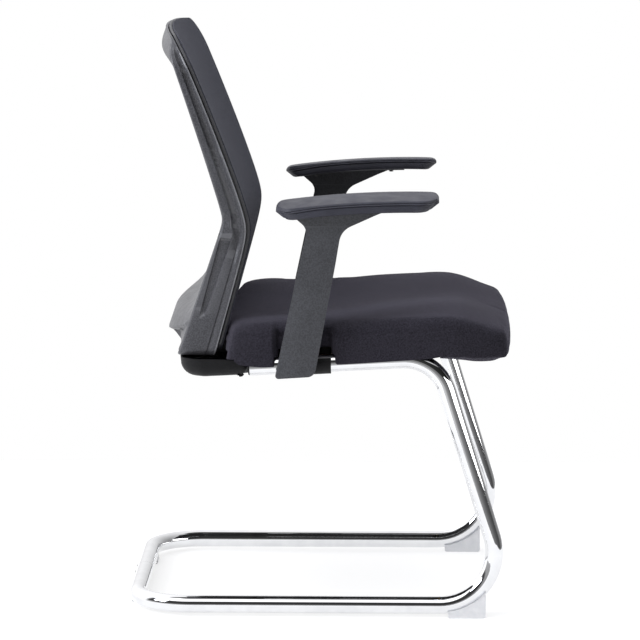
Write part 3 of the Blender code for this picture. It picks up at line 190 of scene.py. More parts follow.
# Half section of the arm pad in shares of its half width and thickness, the bead's height from its split
PAD_FOOT = ((0.9, 0.0), (0.945, 0.03), (0.97, 0.08))
PAD_BEAD = (
    (0.975, -0.16), (0.962, -0.12), (0.945, -0.09), (0.955, -0.07), (0.985, -0.05), (1.0, -0.01),
    (0.992, 0.03), (0.965, 0.05), (0.935, 0.07), (0.935, 0.095), (0.96, 0.12), (0.952, 0.17),
)
PAD_CROWN = ((0.93, 0.985), (0.88, 1.006), (0.79, 1.018), (0.66, 1.028), (0.5, 1.036), (0.25, 1.042))
PAD_END_LEAN = 0.014
PAD_END_STATIONS = (0.0004, 0.0012, 0.0025, 0.0045, 0.007, 0.01, 0.014, 0.019, 0.025, 0.032)
RING_SECTION = (
    (0.0, -INNER_FRAME_DEPTH + 0.0015), (0.0, -0.0024), (0.006, -0.002), (0.006, -GAP),
    (INNER_FRAME_WIDTH - 0.002, -GAP), (INNER_FRAME_WIDTH, -0.002),
    (INNER_FRAME_WIDTH, -INNER_FRAME_DEPTH), (0.0015, -INNER_FRAME_DEPTH),
)
SHEET_COLUMNS = 44
SHEET_THICKNESS = 0.0014
CUSHION_GRID = (16, 22)
CUSHION_LAYERS = (
    (0.0, 0.998), (0.035, 1.0), (0.12, 1.0), (0.34, 0.999), (0.62, 0.999), (0.8, 0.994), (0.93, 0.978),
    (1.0, 0.945),
)
CUSHION_CLOTH = {
    "quality": 5, "tension_stiffness": 25.0, "compression_stiffness": 25.0, "bending_stiffness": 6.0,
    "use_pressure": True, "uniform_pressure_force": 4.0,
}
CUSHION_CLOTH_FRAMES = 20
SKIRT_DROP = 0.002
SKIRT_HANG = 0.0052
CUSHION_VOXEL = 0.005
CUSHION_SWELL_CAP = 0.005
NOSE_SWELL = 0.007
SEAM_DROP = 0.017
SEAM_DEPTH = 0.0014
SEAM_WIDTH = 0.0024

# Studio
FLOOR_HALF_SIZE = 1.0
FLOOR_LIFT = 0.66
SKY_NEAR = (
    (0.0, 0.75), (0.37, 0.7), (0.41, 0.42), (0.56, 0.32), (0.6, 0.05), (0.82, 0.05), (0.86, 2.0),
    (0.985, 2.0), (0.995, 0.1), (1.0, 0.1),
)
SKY_FAR = ((0.0, 0.8), (0.5, 1.0), (0.6, 1.25), (0.955, 1.45), (0.975, 0.1), (1.0, 0.1))
SKY_FRONT = 0.2
SKY_REAR = 1.35
SKY_EDGE = 0.12
FLOOR_GREY = 0.8
FLOOR_SEEN_GREY = 0.42
WHITE = (1.0, 1.0, 1.0)
COOL = (0.95, 0.98, 1.07)
LAMP_AIM = (0.0, 0.0, 0.5)
# name, place, size, power, seen in reflections, lights surfaces, tint
LAMPS = (
    ("rear_panel", (-1.45, 2.6, 1.75), (1.2, 1.2), 52.0, True, True, COOL),
    ("overhead_fill", (0.0, -0.4, 2.6), (2.4, 2.4), 25.0, False, True, COOL),
    ("side_fill", (-2.3, 1.4, 0.5), (1.2, 1.2), 16.5, False, True, WHITE),
    ("near_fill", (-3.0, -1.0, 1.5), (1.6, 1.6), 5.0, False, True, WHITE),
    ("front_panel", (-1.2, -3.0, 0.95), (3.0, 0.9), 40.0, True, False, WHITE),
)


# Mesh helpers
def evaluated_mesh(source):
    graph = bpy.context.evaluated_depsgraph_get()
    return bpy.data.meshes.new_from_object(source.evaluated_get(graph))


def smooth(made, angle):
    made.data.shade_smooth()
    made.data.set_sharp_from_angle(angle=math.radians(angle))
    return made


def mesh_from_bmesh(name, form):
    bmesh.ops.recalc_face_normals(form, faces=form.faces)
    mesh = bpy.data.meshes.new(name)
    form.to_mesh(mesh)
    form.free()
    return mesh


def new_object(name, data):
    made = bpy.data.objects.new(name, data)
    bpy.context.scene.collection.objects.link(made)
    return made


def curve_mesh(points, radius=0.0, thickness=0.0):
    """Mesh of a round bar along 3D points, or of a flat outline with a thickness."""
    curve = bpy.data.curves.new("curve", "CURVE")
    curve.dimensions = "3D" if radius else "2D"
    curve.resolution_u = 1
    if radius:
        curve.bevel_depth = radius
        curve.bevel_resolution = TUBE_RESOLUTION
    else:
        curve.fill_mode = "BOTH"
        curve.extrude = thickness / 2
    spline = curve.splines.new("POLY")
    spline.points.add(len(points) - 1)
    for slot, point in zip(spline.points, points):
        slot.co = (*point, 1.0) if radius else (*point, 0.0, 1.0)
    spline.use_cyclic_u = not radius
    holder = new_object("curve", curve)
    mesh = evaluated_mesh(holder)
    bpy.data.objects.remove(holder)
    form = bmesh.new()
    form.from_mesh(mesh)
    bmesh.ops.remove_doubles(form, verts=form.verts, dist=MERGE_DISTANCE)
    form.to_mesh(mesh)
    form.free()
    return mesh


def apply_modifiers(target):
    bpy.context.view_layer.update()
    mesh = evaluated_mesh(target)
    target.modifiers.clear()
    target.data = mesh


def modify(target, kind, **settings):
    """Change a mesh for good by one modifier."""
    step = target.modifiers.new(kind.lower(), kind)
    for key, value in settings.items():
        setattr(step, key, value)
    apply_modifiers(target)


def change(target, operation, mesh):
    """Cut, or join, a mesh with another by an exact Boolean."""
    tool = new_object("tool", mesh)
    modify(target, "BOOLEAN", operation=operation, solver="EXACT", object=tool)
    bpy.data.objects.remove(tool)


def bevel(target, width, segments, angle):
    limit = math.radians(angle)
    modify(target, "BEVEL", width=width, segments=segments, limit_method="ANGLE", angle_limit=limit)


def posts(radius, spots, low, high, segments):
    """Closed upright cylinders between two heights, at (x, y) spots."""
    form = bmesh.new()
    for x, y in spots:
        bmesh.ops.create_cone(
            form, cap_ends=True, segments=segments, radius1=radius, radius2=radius, depth=high - low,
            matrix=Matrix.Translation((x, y, (low + high) / 2)),
        )
    return mesh_from_bmesh("posts", form)


def box(low, high):
    """Closed box between two corners."""
    form = bmesh.new()
    low, high = Vector(low), Vector(high)
    middle = Matrix.Translation((low + high) / 2)
    bmesh.ops.create_cube(form, size=1.0, matrix=middle @ Matrix.Diagonal((*(high - low), 1.0)))
    return mesh_from_bmesh("box", form)


def spread(start, end, count):
    return [start + (end - start) * i / (count - 1) for i in range(count)]


def rounded_path(corners, radii):
    """Straight runs joined by arcs of the given radii at the inner corners."""
    corners = [Vector(corner) for corner in corners]
    path = [corners[0]]
    for before, corner, after, radius in zip(corners, corners[1:], corners[2:], radii):
        arriving = (corner - before).normalized()
        leaving = (after - corner).normalized()
        turn = arriving.angle(leaving)
        reach = radius * math.tan(turn / 2)
        start = corner - arriving * reach
        inward = (leaving - arriving * math.cos(turn)).normalized()
        centre = start + inward * radius
        count = max(3, round(turn / FINE_STEP))
        for i in range(count + 1):
            angle = turn * i / count
            path.append(centre - inward * radius * math.cos(angle) + arriving * radius * math.sin(angle))
    path.append(corners[-1])
    return path


def rounded_outline(corners, radii):
    """Closed outline with each corner rounded by its own radius, or sharp at 0."""
    corners = [Vector((*corner, 0.0)) for corner in corners]
    outline = []
    for i, radius in enumerate(radii):
        before, corner, after = corners[i - 1], corners[i], corners[(i + 1) % len(corners)]
        if radius:
            path = rounded_path((before.lerp(corner, 0.5), corner, corner.lerp(after, 0.5)), (radius,))
            outline += [point.to_2d() for point in path[1:-1]]
        else:
            outline.append(corner.to_2d())
    return outline


def loft(name, loops, closed_loops=True, closed_run=False, caps=True):
    """Skin between loops with the same number of points."""
    form = bmesh.new()
    rows = [[form.verts.new(point) for point in loop] for loop in loops]
    pairs = list(zip(rows, rows[1:]))
    if closed_run:
        pairs.append((rows[-1], rows[0]))
    count = len(rows[0])
    last = count if closed_loops else count - 1
    for low, high in pairs:
        for i in range(last):
            j = (i + 1) % count
            form.faces.new((low[i], low[j], high[j], high[i]))
    if caps and not closed_run:
        form.faces.new(rows[0])
        form.faces.new(rows[-1])
    return mesh_from_bmesh(name, form)


def blend(value, start, end):
    """0 at start and 1 at end, smooth in between; start may be above end."""
    t = min(1.0, max(0.0, (value - start) / (end - start)))
    return t * t * (3.0 - 2.0 * t)


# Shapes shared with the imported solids
def frame_path(side):
    """Centre line of a half frame: rail, leg, runner and half of the rear crossbar."""
    rise = math.tan(RAIL_RISE)
    lean = 1.0 / math.tan(LEG_LEAN)
    top_y = (RUNNER_HEIGHT - RAIL_END_Z - rise * RAIL_END_Y - lean * FLOOR_CORNER_Y) / (-rise - lean)
    x = side * FRAME_HALF_WIDTH
    corners = (
        (x, RAIL_END_Y, RAIL_END_Z),
        (x, top_y, RAIL_END_Z - rise * (top_y - RAIL_END_Y)),
        (x, FLOOR_CORNER_Y, RUNNER_HEIGHT),
        (x, CROSSBAR_Y, RUNNER_HEIGHT),
        (side * GAP / 2, CROSSBAR_Y, RUNNER_HEIGHT),
    )
    return rounded_path(corners, (TOP_BEND_RADIUS, FLOOR_BEND_RADIUS, FLOOR_BEND_RADIUS))


def seat_plane_height(y):
    """Height of the rails' top line."""
    return RAIL_END_Z + (RAIL_END_Y - y) * math.tan(RAIL_RISE) + TUBE_RADIUS / math.cos(RAIL_RISE)


def tray_plan():
    """Plan of the tray: narrow between the rails, wide and bowed behind them."""
    front, step, rear = TRAY_FRONT_Y, TRAY_STEP_Y, TRAY_REAR_Y
    narrow, wide = TRAY_HALF_WIDTH, TRAY_REAR_HALF_WIDTH
    right = [
        (narrow * 0.5, front), (narrow, front), (narrow, -0.1), (narrow, step), (wide, step),
        (wide, 0.15), (wide, rear), (0.15, rear + TRAY_BOW * 0.45), (0.075, rear + TRAY_BOW * 0.85),
    ]
    radii = [0.0, 0.045, 0.0, 0.004, 0.01, 0.0, 0.038, 0.0, 0.0]
    corners = right + [(0.0, rear + TRAY_BOW)] + [(-x, y) for x, y in reversed(right)]
    return rounded_outline(corners, radii + [0.0] + radii[::-1])


def tray_rim(x, y):
    """Height of the rim: low beside the rails, level at the rear, lower under the bracket."""
    bracket = 1.0 - blend(abs(x), BRACKET_HALF_WIDTH + 0.006, BRACKET_HALF_WIDTH + 0.024)
    level = BACK_BOTTOM - 0.0027 - 0.0036 * bracket
    rear = (level - seat_plane_height(y)) * math.cos(RAIL_RISE)
    return TRAY_SIDE_RIM + (rear - TRAY_SIDE_RIM) * blend(y, TRAY_STEP_Y, TRAY_STEP_Y + 0.02)


def cushion_top(x, y):
    """Top of the cushion: two thigh ridges, a dish between them, a falling front edge."""
    forward = blend(-y, -0.06, 0.16)
    ridge_x = RIDGE_X + (RIDGE_FRONT_X - RIDGE_X) * forward
    ridge = math.exp(-((abs(x) - ridge_x) / RIDGE_WIDTH) ** 2)
    centre = blend(-y, 0.19, 0.3)
    dish = CUSHION_DISH * (1.0 - ridge) * (1.0 if abs(x) < ridge_x else 0.8) * (1.0 - 0.7 * centre)
    dip = ARM_ROUND_DIP * (1.0 - blend(abs(y - ARM_ROUND_Y), 0.03, 0.12))
    front_fall = NOSE_FALL * blend(-y, 0.195, 0.305) ** 1.3
    rear_fall = TAIL_FALL * blend(y, 0.1, 0.15)
    return CUSHION_TOP - dish - dip - front_fall - rear_fall


def seat_recesses():
    """Boxes kept free under the cushion: arms' feet, crossbars, rails, seat board."""
    outer = CROSSBAR_HALF_LENGTH + 2 * GAP
    foot = ARM_FOOT_WIDTH / 2 + 2 * GAP
    board = PAN_HALF_WIDTH + 2 * GAP
    low, rear = PAN_BOTTOM, RECESS_REAR_Y
    return (
        ((-ARM_INNER_X, ARM_FOOT_Y - foot, -0.01), (ARM_INNER_X, ARM_FOOT_Y + foot, low)),
        ((-outer, RAIL_RECESS_FRONT_Y, -0.01), (outer, rear, low)),
        ((-RAIL_RECESS_HALF_WIDTH, RAIL_RECESS_FRONT_Y, -0.08), (RAIL_RECESS_HALF_WIDTH, rear, 2 * GAP)),
        ((-board, PAN_FRONT_Y - 2 * GAP, low - 0.004), (board, rear, low + PAN_THICKNESS + GAP)),
    )


def arm_outline():
    """Side outline of the arm: upright with flared top, as (y, z) points."""
    rear, front = ((y, arm_plate_height(y) + ARM_OVERLAP) for y in (ARM_PLATE_REAR_Y, ARM_TOP_FRONT_Y))
    corners = [
        (0.004, 0.388), (0.066, 0.384), (0.0275, 0.565), (0.015, 0.619), rear, front, (-0.09, 0.64),
        (-0.037, 0.616), (-0.0285, 0.565),
    ]
    return rounded_outline(corners, [0.014, 0.005, 0.15, 0.018, 0.0, 0.0, 0.06, 0.03, 0.15])


def pad_top(y):
    """Height of the pad's top along its centre line."""
    return PAD_TOP - PAD_ARCH * (y - PAD_ARCH_Y) ** 2


def arm_plate_height(y):
    """Height of the arm's top, where the pad rests."""
    return pad_top(y) - PAD_THICKNESS - GAP


def arm_layer(side, half_width, stations, low, high):
    """Band between two heights above the arm's top, with its arch and tilt."""
    loops = []
    for y in stations:
        loop = []
        for across, lift in ((-1.0, high), (1.0, high), (1.0, low), (-1.0, low)):
            dx = across * half_width
            z = arm_plate_height(y) - dx * math.tan(PAD_TILT) + lift
            loop.append((side * (PAD_CENTRE_X + dx), y, z))
        loops.append(loop)
    return loft("layer", loops)


def arm_plate(side, clearance):
    """Plate on the arm's top in the pad's recess, larger by the clearance to cut it."""
    stations = spread(ARM_PLATE_FRONT_Y - clearance, ARM_PLATE_REAR_Y + clearance, 7)
    low = -0.003 if clearance else -0.0015
    high = ARM_PLATE_THICKNESS - GAP + clearance
    return arm_layer(side, ARM_PLATE_HALF_WIDTH + clearance, stations, low, high)


def arm_foot(side):
    """Foot between the rail and the seat board, in the seat plane."""
    low, high = sorted((side * ARM_FOOT_INNER_X, side * (ARM_INNER_X + 0.006)))
    half = ARM_FOOT_WIDTH / 2
    return box((low, ARM_FOOT_Y - half, GAP), (high, ARM_FOOT_Y + half, GAP + CROSSBAR_THICKNESS))


def pad_extent(y, inward):
    """Reach of the pad from its centre line at y; its outer corners are rounder."""
    corner, setback = (PAD_INNER_CORNER, 0.0) if inward else (PAD_OUTER_CORNER, PAD_OUTER_SETBACK)
    past = max(PAD_FRONT_Y + setback + corner - y, y - PAD_REAR_Y + setback + corner, 0.0)
    return PAD_HALF_WIDTH - corner * (1.0 - math.sqrt(max(0.0, 1.0 - (past / corner) ** 2)))


def profile(z, waist, slope, lean, radius, curl):
    """How far a back line, two slopes with a round waist between, lies behind its foot at z."""
    def behind_waist(d):
        return lean * d + math.hypot(slope * d, radius) - radius + curl * max(0.0, d) ** 2

    return behind_waist(z - waist) - behind_waist(BACK_BOTTOM - waist)


def back_front(z):
    """Side profile of the back frame's front edge, which starts at the back's foot."""
    return BACK_FOOT_Y + profile(z, WAIST_HEIGHT, *FRONT_PROFILE)


def back_rear(z):
    """Side profile of the uprights' rear edge, its waist tighter and a little higher."""
    return BACK_FOOT_Y + BACK_FOOT_DEPTH + profile(z, WAIST_HEIGHT + WAIST_REAR_RISE, *REAR_PROFILE)


def back_surface(x, z):
    """Front face of the back, hollow toward the sitter."""
    return back_front(z) + BACK_SAG * (1.0 - min(1.0, (x / BACK_HALF_WIDTH) ** 2))


def rear_surface(x, z):
    """Rear face: the uprights' line, the handle-like top rail and the bulging lower shell.

    The bulge ends in an undercut that rises toward the sides, above a narrower skirt.
    """
    share = min(1.0, (x / (BACK_HALF_WIDTH - 0.006)) ** 2)
    middle = 1.0 - share
    undercut = BACK_BOTTOM + UNDERCUT_RISE + UNDERCUT_SIDE_RISE * share
    skirt = 0.66 * blend(undercut - z, -0.003, 0.001) + 0.34 * blend(z, undercut, BACK_BOTTOM)
    lower = blend(WINDOW_BOTTOM - z, 0.0055, 0.039) * (1.0 - skirt)
    upper = blend(BACK_TOP - z, 0.059, 0.033)
    crest = blend(BACK_TOP - z, -0.011, 0.033)
    bulge = SHELL_BULGE * lower * middle ** 0.9
    handle = upper * (HANDLE_BULGE * middle - HANDLE_TUCK * (1.0 - crest))
    return max(back_rear(z) + bulge + handle, back_surface(x, z) + BACK_RIM)


def crowned(x, z):
    """Lift the top edge toward the middle."""
    share = min(1.0, max(0.0, (z - BACK_TOP) / CROWN_REACH + 1.0))
    return z + BACK_CROWN * share * (1.0 - min(1.0, (x / BACK_HALF_WIDTH) ** 2))


def contour(half_width, top, bottom, top_corner, bottom_corner):
    """Right half of a rounded outline from the top middle down, as (x, z) with normals."""
    edge, corner, flank = BACK_STATIONS
    angles = [math.pi / 2 * i / corner for i in range(corner)]
    quarter = [(math.sin(angle), math.cos(angle)) for angle in angles]
    points = [(i / edge * (half_width - top_corner), top, 0.0, 1.0) for i in range(edge)]
    for nx, nz in quarter:
        points.append((half_width - top_corner * (1.0 - nx), top - top_corner * (1.0 - nz), nx, nz))
    for i in range(flank):
        z = top - top_corner + (bottom + bottom_corner - top + top_corner) * i / flank
        points.append((half_width, z, 1.0, 0.0))
    for nz, nx in quarter:
        x, z = half_width - bottom_corner * (1.0 - nx), bottom + bottom_corner * (1.0 - nz)
        points.append((x, z, nx, -nz))
    for i in range(edge + 1):
        points.append(((1.0 - i / edge) * (half_width - bottom_corner), bottom, 0.0, -1.0))
    return points


# Right half of the outline that the inner frame and the fabric follow
BACK_OUTLINE = contour(BACK_HALF_WIDTH, BACK_TOP, BACK_BOTTOM, BACK_TOP_CORNER, BACK_BOTTOM_CORNER)


def sunk(station, depth):
    """Point of the outline moved inward, as (x, z)."""
    x, z, nx, nz = station
    return max(0.0, x - nx * depth), z - nz * depth


def inset_at(station, inset):
    """Inset of the inner frame or the fabric, smaller along the top."""
    return inset * (1.0 - 0.8 * max(0.0, station[3]))


def back_frame_section(outer, window):
    """Closed section of the moulding: lip, outer face, rear face, window flange, inside face."""
    ox, oz, nx, nz = outer
    oz -= TOP_RAIL_DROP * max(0.0, nz)
    outer = ox, oz, nx, nz
    wx, wz, window_nx, window_nz = window
    front = back_surface(ox, oz)
    rear = rear_surface(ox, oz)
    depth = rear - front
    wall = min(BACK_WALL, depth * 0.35)
    above = oz - WAIST_HEIGHT
    waist = blend(above, -0.014, -0.008) * blend(above, 0.022, 0.016) * abs(nx)
    facet = FACET_SINK * waist
    relief = []
    for share, sink in side_relief(oz):
        relief.append((share, sink * abs(nx) + 0.0022 * waist * blend(share, 0.5, 0.9)))
    points = []

    def add(x, z, y):
        points.append((x, y, crowned(x, z)))

    chamfer = min(0.0009, depth * 0.03)
    for inset in (BACK_LIP, chamfer):
        x, z = sunk(outer, inset)
        add(x, z, back_surface(x, z))
    add(ox, oz, front + chamfer)
    add(ox, oz, front + chamfer + LIP_WIDTH * min(1.0, depth / 0.03))
    for share, sink in relief:
        add(*sunk(outer, sink), front + depth * share)
    add(*sunk(outer, facet + 0.0006), front + depth * 0.955)
    x, z = sunk(outer, facet + 0.003)
    add(x, z, rear - 0.0005)
    across = [(x + (wx - x) * share, z + (wz - z) * share) for share in ACROSS_SHARES]
    for px, pz in across:
        add(px, pz, rear_surface(px, pz))
    rim = rear_surface(wx, wz)
    add(wx, wz, rim - 0.003)
    add(wx, wz, rim - WINDOW_FLANGE)
    ix, iz = wx + window_nx * BACK_WALL, wz + window_nz * BACK_WALL
    add(ix, iz, rim - WINDOW_FLANGE)
    add(ix, iz, min(rim, rear_surface(ix, iz)) - BACK_WALL)
    for share, (px, pz) in reversed(list(zip(ACROSS_SHARES, across))):
        if 0.2 < share < 0.8:
            add(px, pz, rear_surface(px, pz) - wall)
    add(*sunk(outer, facet + wall), rear - depth * 0.02 - wall)
    for share, sink in reversed(relief[2:5]):
        add(*sunk(outer, sink + wall), front + depth * min(0.58, max(0.42, share)))
    add(*sunk(outer, wall), front + wall)
    x, z = sunk(outer, BACK_LIP)
    add(x, z, back_surface(x, z) + wall)
    return points


# Materials
def add_node(tree, kind, inputs=(), **settings):
    """Shader node with each input linked to a socket or set to a value."""
    made = tree.nodes.new("ShaderNode" + kind)
    for key, value in settings.items():
        setattr(made, key, value)
    for key, value in dict(inputs).items():
        if isinstance(value, bpy.types.NodeSocket):
            tree.links.new(value, made.inputs[key])
        else:
            made.inputs[key].default_value = value
    return made


class Look:
    """Node material around one Principled shader, with its textures in object space."""

    def __init__(self, name, roughness, **constants):
        self.material = bpy.data.materials.new(name)
        self.material.use_nodes = True
        self.tree = self.material.node_tree
        self.shader = self.tree.nodes["Principled BSDF"]
        for socket, value in {"Roughness": roughness, **constants}.items():
            self.shader.inputs[socket.replace("_", " ")].default_value = value
        self.space = self.node("TexCoord").outputs["Object"]

    def node(self, kind, inputs=(), **settings):
        return add_node(self.tree, kind, inputs, **settings)

    def stretched(self, scale):
        return self.node("Mapping", {"Vector": self.space, "Scale": scale}).outputs["Vector"]

    def noise(self, scale, detail, vector=None):
        values = {"Vector": vector or self.space, "Scale": scale, "Detail": detail}
        return self.node("TexNoise", values).outputs["Fac"]

    def cells(self, scale, vector=None):
        values = {"Vector": vector or self.space, "Scale": scale}
        return self.node("TexVoronoi", values).outputs["Distance"]

    def bands(self, scale, direction, distortion):
        values = {"Vector": self.space, "Scale": scale, "Distortion": distortion}
        return self.node("TexWave", values, bands_direction=direction).outputs["Fac"]

    def maths(self, operation, first, second):
        return self.node("Math", {0: first, 1: second}, operation=operation).outputs["Value"]

    def ranged(self, value, low, high, to_low=0.0, to_high=1.0):
        values = {"Value": value, "From Min": low, "From Max": high, "To Min": to_low, "To Max": to_high}
        return self.node("MapRange", values).outputs["Result"]

    def cloud(self, scale, detail, *limits):
        """Noise brought from one range of values to another."""
        return self.ranged(self.noise(scale, detail), *limits)

    def blended(self, share, first, second):
        values = {"Fac": share}
        for socket, colour in (("Color1", first), ("Color2", second)):
            values[socket] = (*colour, 1.0) if isinstance(colour, tuple) else colour
        return self.node("MixRGB", values).outputs["Color"]

    def finished(self, colour, heights, roughness=None):
        """Wire colour, roughness and a chain of bumps of (height, strength, distance)."""
        wires = {"Base Color": colour, "Roughness": roughness}
        for height, strength, distance in heights:
            values = {"Height": height, "Strength": strength, "Distance": distance}
            if "Normal" in wires:
                values["Normal"] = wires["Normal"]
            wires["Normal"] = self.node("Bump", values).outputs["Normal"]
        for socket, value in wires.items():
            if value is not None:
                self.tree.links.new(value, self.shader.inputs[socket])
        return self.material


def moulded_plastic(name, dark, light, roughness, grain, edge=None, specular=0.5):
    """Spark-eroded moulded plastic: fine grain, slight mottling, and lighter convex edges that are partly
    rubbed wear and partly painted highlight.
    """
    look = Look(name, roughness, Specular_IOR_Level=specular)
    speckle = look.cloud(grain * 0.38, 3.0, 0.38, 0.62, 0.0, 3.0)
    mottling = look.maths("ADD", look.cloud(14.0, 3.0, 0.35, 0.65), speckle)
    colour = look.blended(look.maths("MULTIPLY", mottling, 0.25), dark, light)
    # Sharp convex edges lighter by pointiness: partly rubbed wear, partly a painted highlight along the
    # edges
    if edge:
        bend = look.node("NewGeometry").outputs["Pointiness"]
        colour = look.blended(look.ranged(bend, 0.512, 0.55, 0.0, 0.9), colour, edge)
    gloss = look.cloud(55.0, 4.0, 0.3, 0.7, roughness - 0.05, roughness + 0.06)
    coarse, fine = look.noise(grain * 0.42, 2.0), look.noise(grain, 3.0)
    heights = ((coarse, 0.35, 0.00035), (look.cells(grain * 0.9), 0.25, 0.00012), (fine, 0.3, 0.0001))
    return look.finished(colour, heights, gloss)


def chrome():
    look = Look("polished_chrome", 0.05, Metallic=1.0)
    haze = look.cloud(38.0, 4.0, 0.35, 0.75)
    colour = look.blended(haze, (0.82, 0.825, 0.835), (0.75, 0.755, 0.77))
    gloss = look.cloud(130.0, 5.0, 0.3, 0.8, 0.025, 0.075)
    return look.finished(colour, ((look.noise(70.0, 2.0), 0.05, 0.0004),), gloss)


def upholstery():
    """Crepe upholstery: small pebbled cells over crossing threads, with a soft nap."""
    look = Look("seat_fabric", 0.95, Specular_IOR_Level=0.12, Sheen_Weight=0.14, Sheen_Roughness=0.45,
                Sheen_Tint=(0.72, 0.68, 0.86, 1.0))
    pebble = look.cells(760.0)
    threads = look.bands(420.0, "X", 1.2)
    for direction in "YZ":
        threads = look.maths("MAXIMUM", threads, look.bands(420.0, direction, 1.2))
    tone = look.cloud(380.0, 4.0, 0.32, 0.68)
    base = look.blended(tone, (0.0105, 0.0098, 0.0132), (0.03, 0.0276, 0.0372))
    base = look.blended(look.ranged(pebble, 0.25, 0.75, 0.45, 0.0), base, (0.042, 0.0392, 0.052))
    colour = look.blended(look.cloud(9.0, 4.0, 0.4, 0.7, 0.0, 0.35), base, (0.029, 0.0272, 0.0345))
    heights = ((look.noise(110.0, 3.0), 0.12, 0.0006), (threads, 0.25, 0.0003), (pebble, 0.55, 0.0005))
    return look.finished(colour, heights)


def knit():
    """Taut spacer mesh: rows of small dark eyelets between raised ribs."""
    look = Look("back_mesh_fabric", 0.85, Specular_IOR_Level=0.15, Sheen_Weight=0.16,
                Sheen_Roughness=0.4, Sheen_Tint=(0.8, 0.8, 0.92, 1.0))
    eyelets = look.cells(430.0, look.stretched((1.0, 0.35, 0.62)))
    ribs = look.maths("MULTIPLY", look.bands(210.0, "X", 0.3), look.bands(330.0, "Z", 0.3))
    base = look.blended(look.cloud(900.0, 2.0, 0.3, 0.7), (0.029, 0.03, 0.0385), (0.055, 0.057, 0.0725))
    colour = look.blended(look.ranged(eyelets, 0.22, 0.52, 0.55, 0.0), base, (0.01, 0.01, 0.012))
    return look.finished(colour, ((ribs, 0.35, 0.0004), (eyelets, 0.6, 0.0006)))


def arm_pad_skin():
    """Self-skinned foam with a fine leather grain."""
    look = Look("arm_pad_skin", 0.55, Specular_IOR_Level=0.42)
    grain = look.cells(620.0)
    tone = look.cloud(30.0, 4.0, 0.35, 0.7)
    base = look.blended(tone, (0.034, 0.0345, 0.047), (0.047, 0.0476, 0.0645))
    colour = look.blended(look.ranged(grain, 0.0, 0.5, 0.5, 0.0), base, (0.02, 0.02, 0.023))
    heights = ((grain, 0.35, 0.0002), (look.noise(1700.0, 2.0), 0.25, 0.0001))
    return look.finished(colour, heights, look.cloud(45.0, 4.0, 0.3, 0.7, 0.46, 0.62))


def clear_glide():
    look = Look("clear_glide", 0.28, Transmission_Weight=0.3, IOR=1.49)
    colour = look.blended(look.cloud(90.0, 4.0, 0.3, 0.7), (0.86, 0.87, 0.89), (0.95, 0.95, 0.96))
    return look.finished(colour, ((look.noise(300.0, 3.0), 0.12, 0.0002),))


def plywood():
    look = Look("plywood", 0.7, Specular_IOR_Level=0.3)
    plies = look.bands(220.0, "Z", 0.4)
    grain = look.noise(60.0, 5.0, look.stretched((1.0, 12.0, 1.0)))
    base = look.blended(look.ranged(grain, 0.35, 0.7), (0.5, 0.36, 0.21), (0.33, 0.21, 0.11))
    colour = look.blended(look.maths("MULTIPLY", plies, 0.35), base, (0.22, 0.13, 0.07))
    return look.finished(colour, ((grain, 0.3, 0.0003),))


def black_steel():
    look = Look("powder_coated_steel", 0.45)
    peel = look.noise(420.0, 2.0)
    colour = look.blended(look.ranged(peel, 0.35, 0.65), (0.016, 0.016, 0.018), (0.026, 0.026, 0.028))
    return look.finished(colour, ((peel, 0.3, 0.0002),), look.cloud(60.0, 3.0, 0.3, 0.7, 0.38, 0.52))


def zinc():
    look = Look("zinc_plate", 0.32, Metallic=1.0)
    streaks = look.noise(500.0, 3.0, look.stretched((1.0, 1.0, 0.15)))
    colour = look.blended(streaks, (0.66, 0.66, 0.63), (0.5, 0.51, 0.52))
    return look.finished(colour, ((streaks, 0.15, 0.0001),), look.ranged(streaks, 0.3, 0.7, 0.26, 0.42))


LOOKS = {
    "chrome": chrome(),
    "nylon": moulded_plastic(
        "arm_nylon", (0.031, 0.0318, 0.0358), (0.067, 0.069, 0.0775), 0.46, 1300.0, (0.075, 0.077, 0.085)),
    # Same nylon as the arms, painted lighter to stand in for more light on the back frame's sides: painted
    # light
    "moulding": moulded_plastic(
        "back_nylon_painted_lighter", (0.037, 0.0372, 0.0415), (0.086, 0.0865, 0.0965), 0.42, 1200.0, (0.12, 0.121, 0.13)),
    # Much lighter colour for the front lip's faces: a painted highlight along the moulding's front lip
    "lip": moulded_plastic("lip_painted_highlight", (0.15, 0.151, 0.16), (0.25, 0.252, 0.268), 0.34, 1200.0),
    "ring": moulded_plastic("ring_plastic", (0.044, 0.044, 0.048), (0.066, 0.066, 0.072), 0.5, 1500.0),
    "shell": moulded_plastic(
        "black_plastic", (0.006, 0.006, 0.0066), (0.01, 0.01, 0.0108), 0.56, 1300.0, specular=0.2),
    "fabric": upholstery(),
    "mesh": knit(),
    "pad": arm_pad_skin(),
    "glide": clear_glide(),
    "board": plywood(),
    "steel": black_steel(),
    "zinc": zinc(),
}


# Pieces
SIDES = ((-1, "left"), (1, "right"))


def place(made, slot, node, look=None):
    """Dress a finished piece, let it stand for its CAD node and ride on the body."""
    made.data.materials.clear()
    made.data.materials.append(LOOKS[look or slot])
    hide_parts(node)
    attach(made, "root")
    return made


def dress_packed_nodes():
    """Procedural materials on the CAD nodes that stay in sight."""
    for part in frame["record"]["subparts"]:
        node = frame["nodes"].get(part["node"])
        if node is None or part["material_slot"] not in LOOKS:
            continue
        look = LOOKS["steel" if part["node"].startswith("pad_screw") else part["material_slot"]]
        for slot in node.material_slots:
            slot.link = "OBJECT"
            slot.material = look


def make_tubes():
    for side, word in SIDES:
        tube = new_object("chrome_tube_" + word, curve_mesh(frame_path(side), radius=TUBE_RADIUS))
        modify(tube, "SOLIDIFY", thickness=TUBE_WALL, offset=-1.0)
        smooth(tube, 50.0)
        place(tube, "chrome", "frame_tube_" + word)


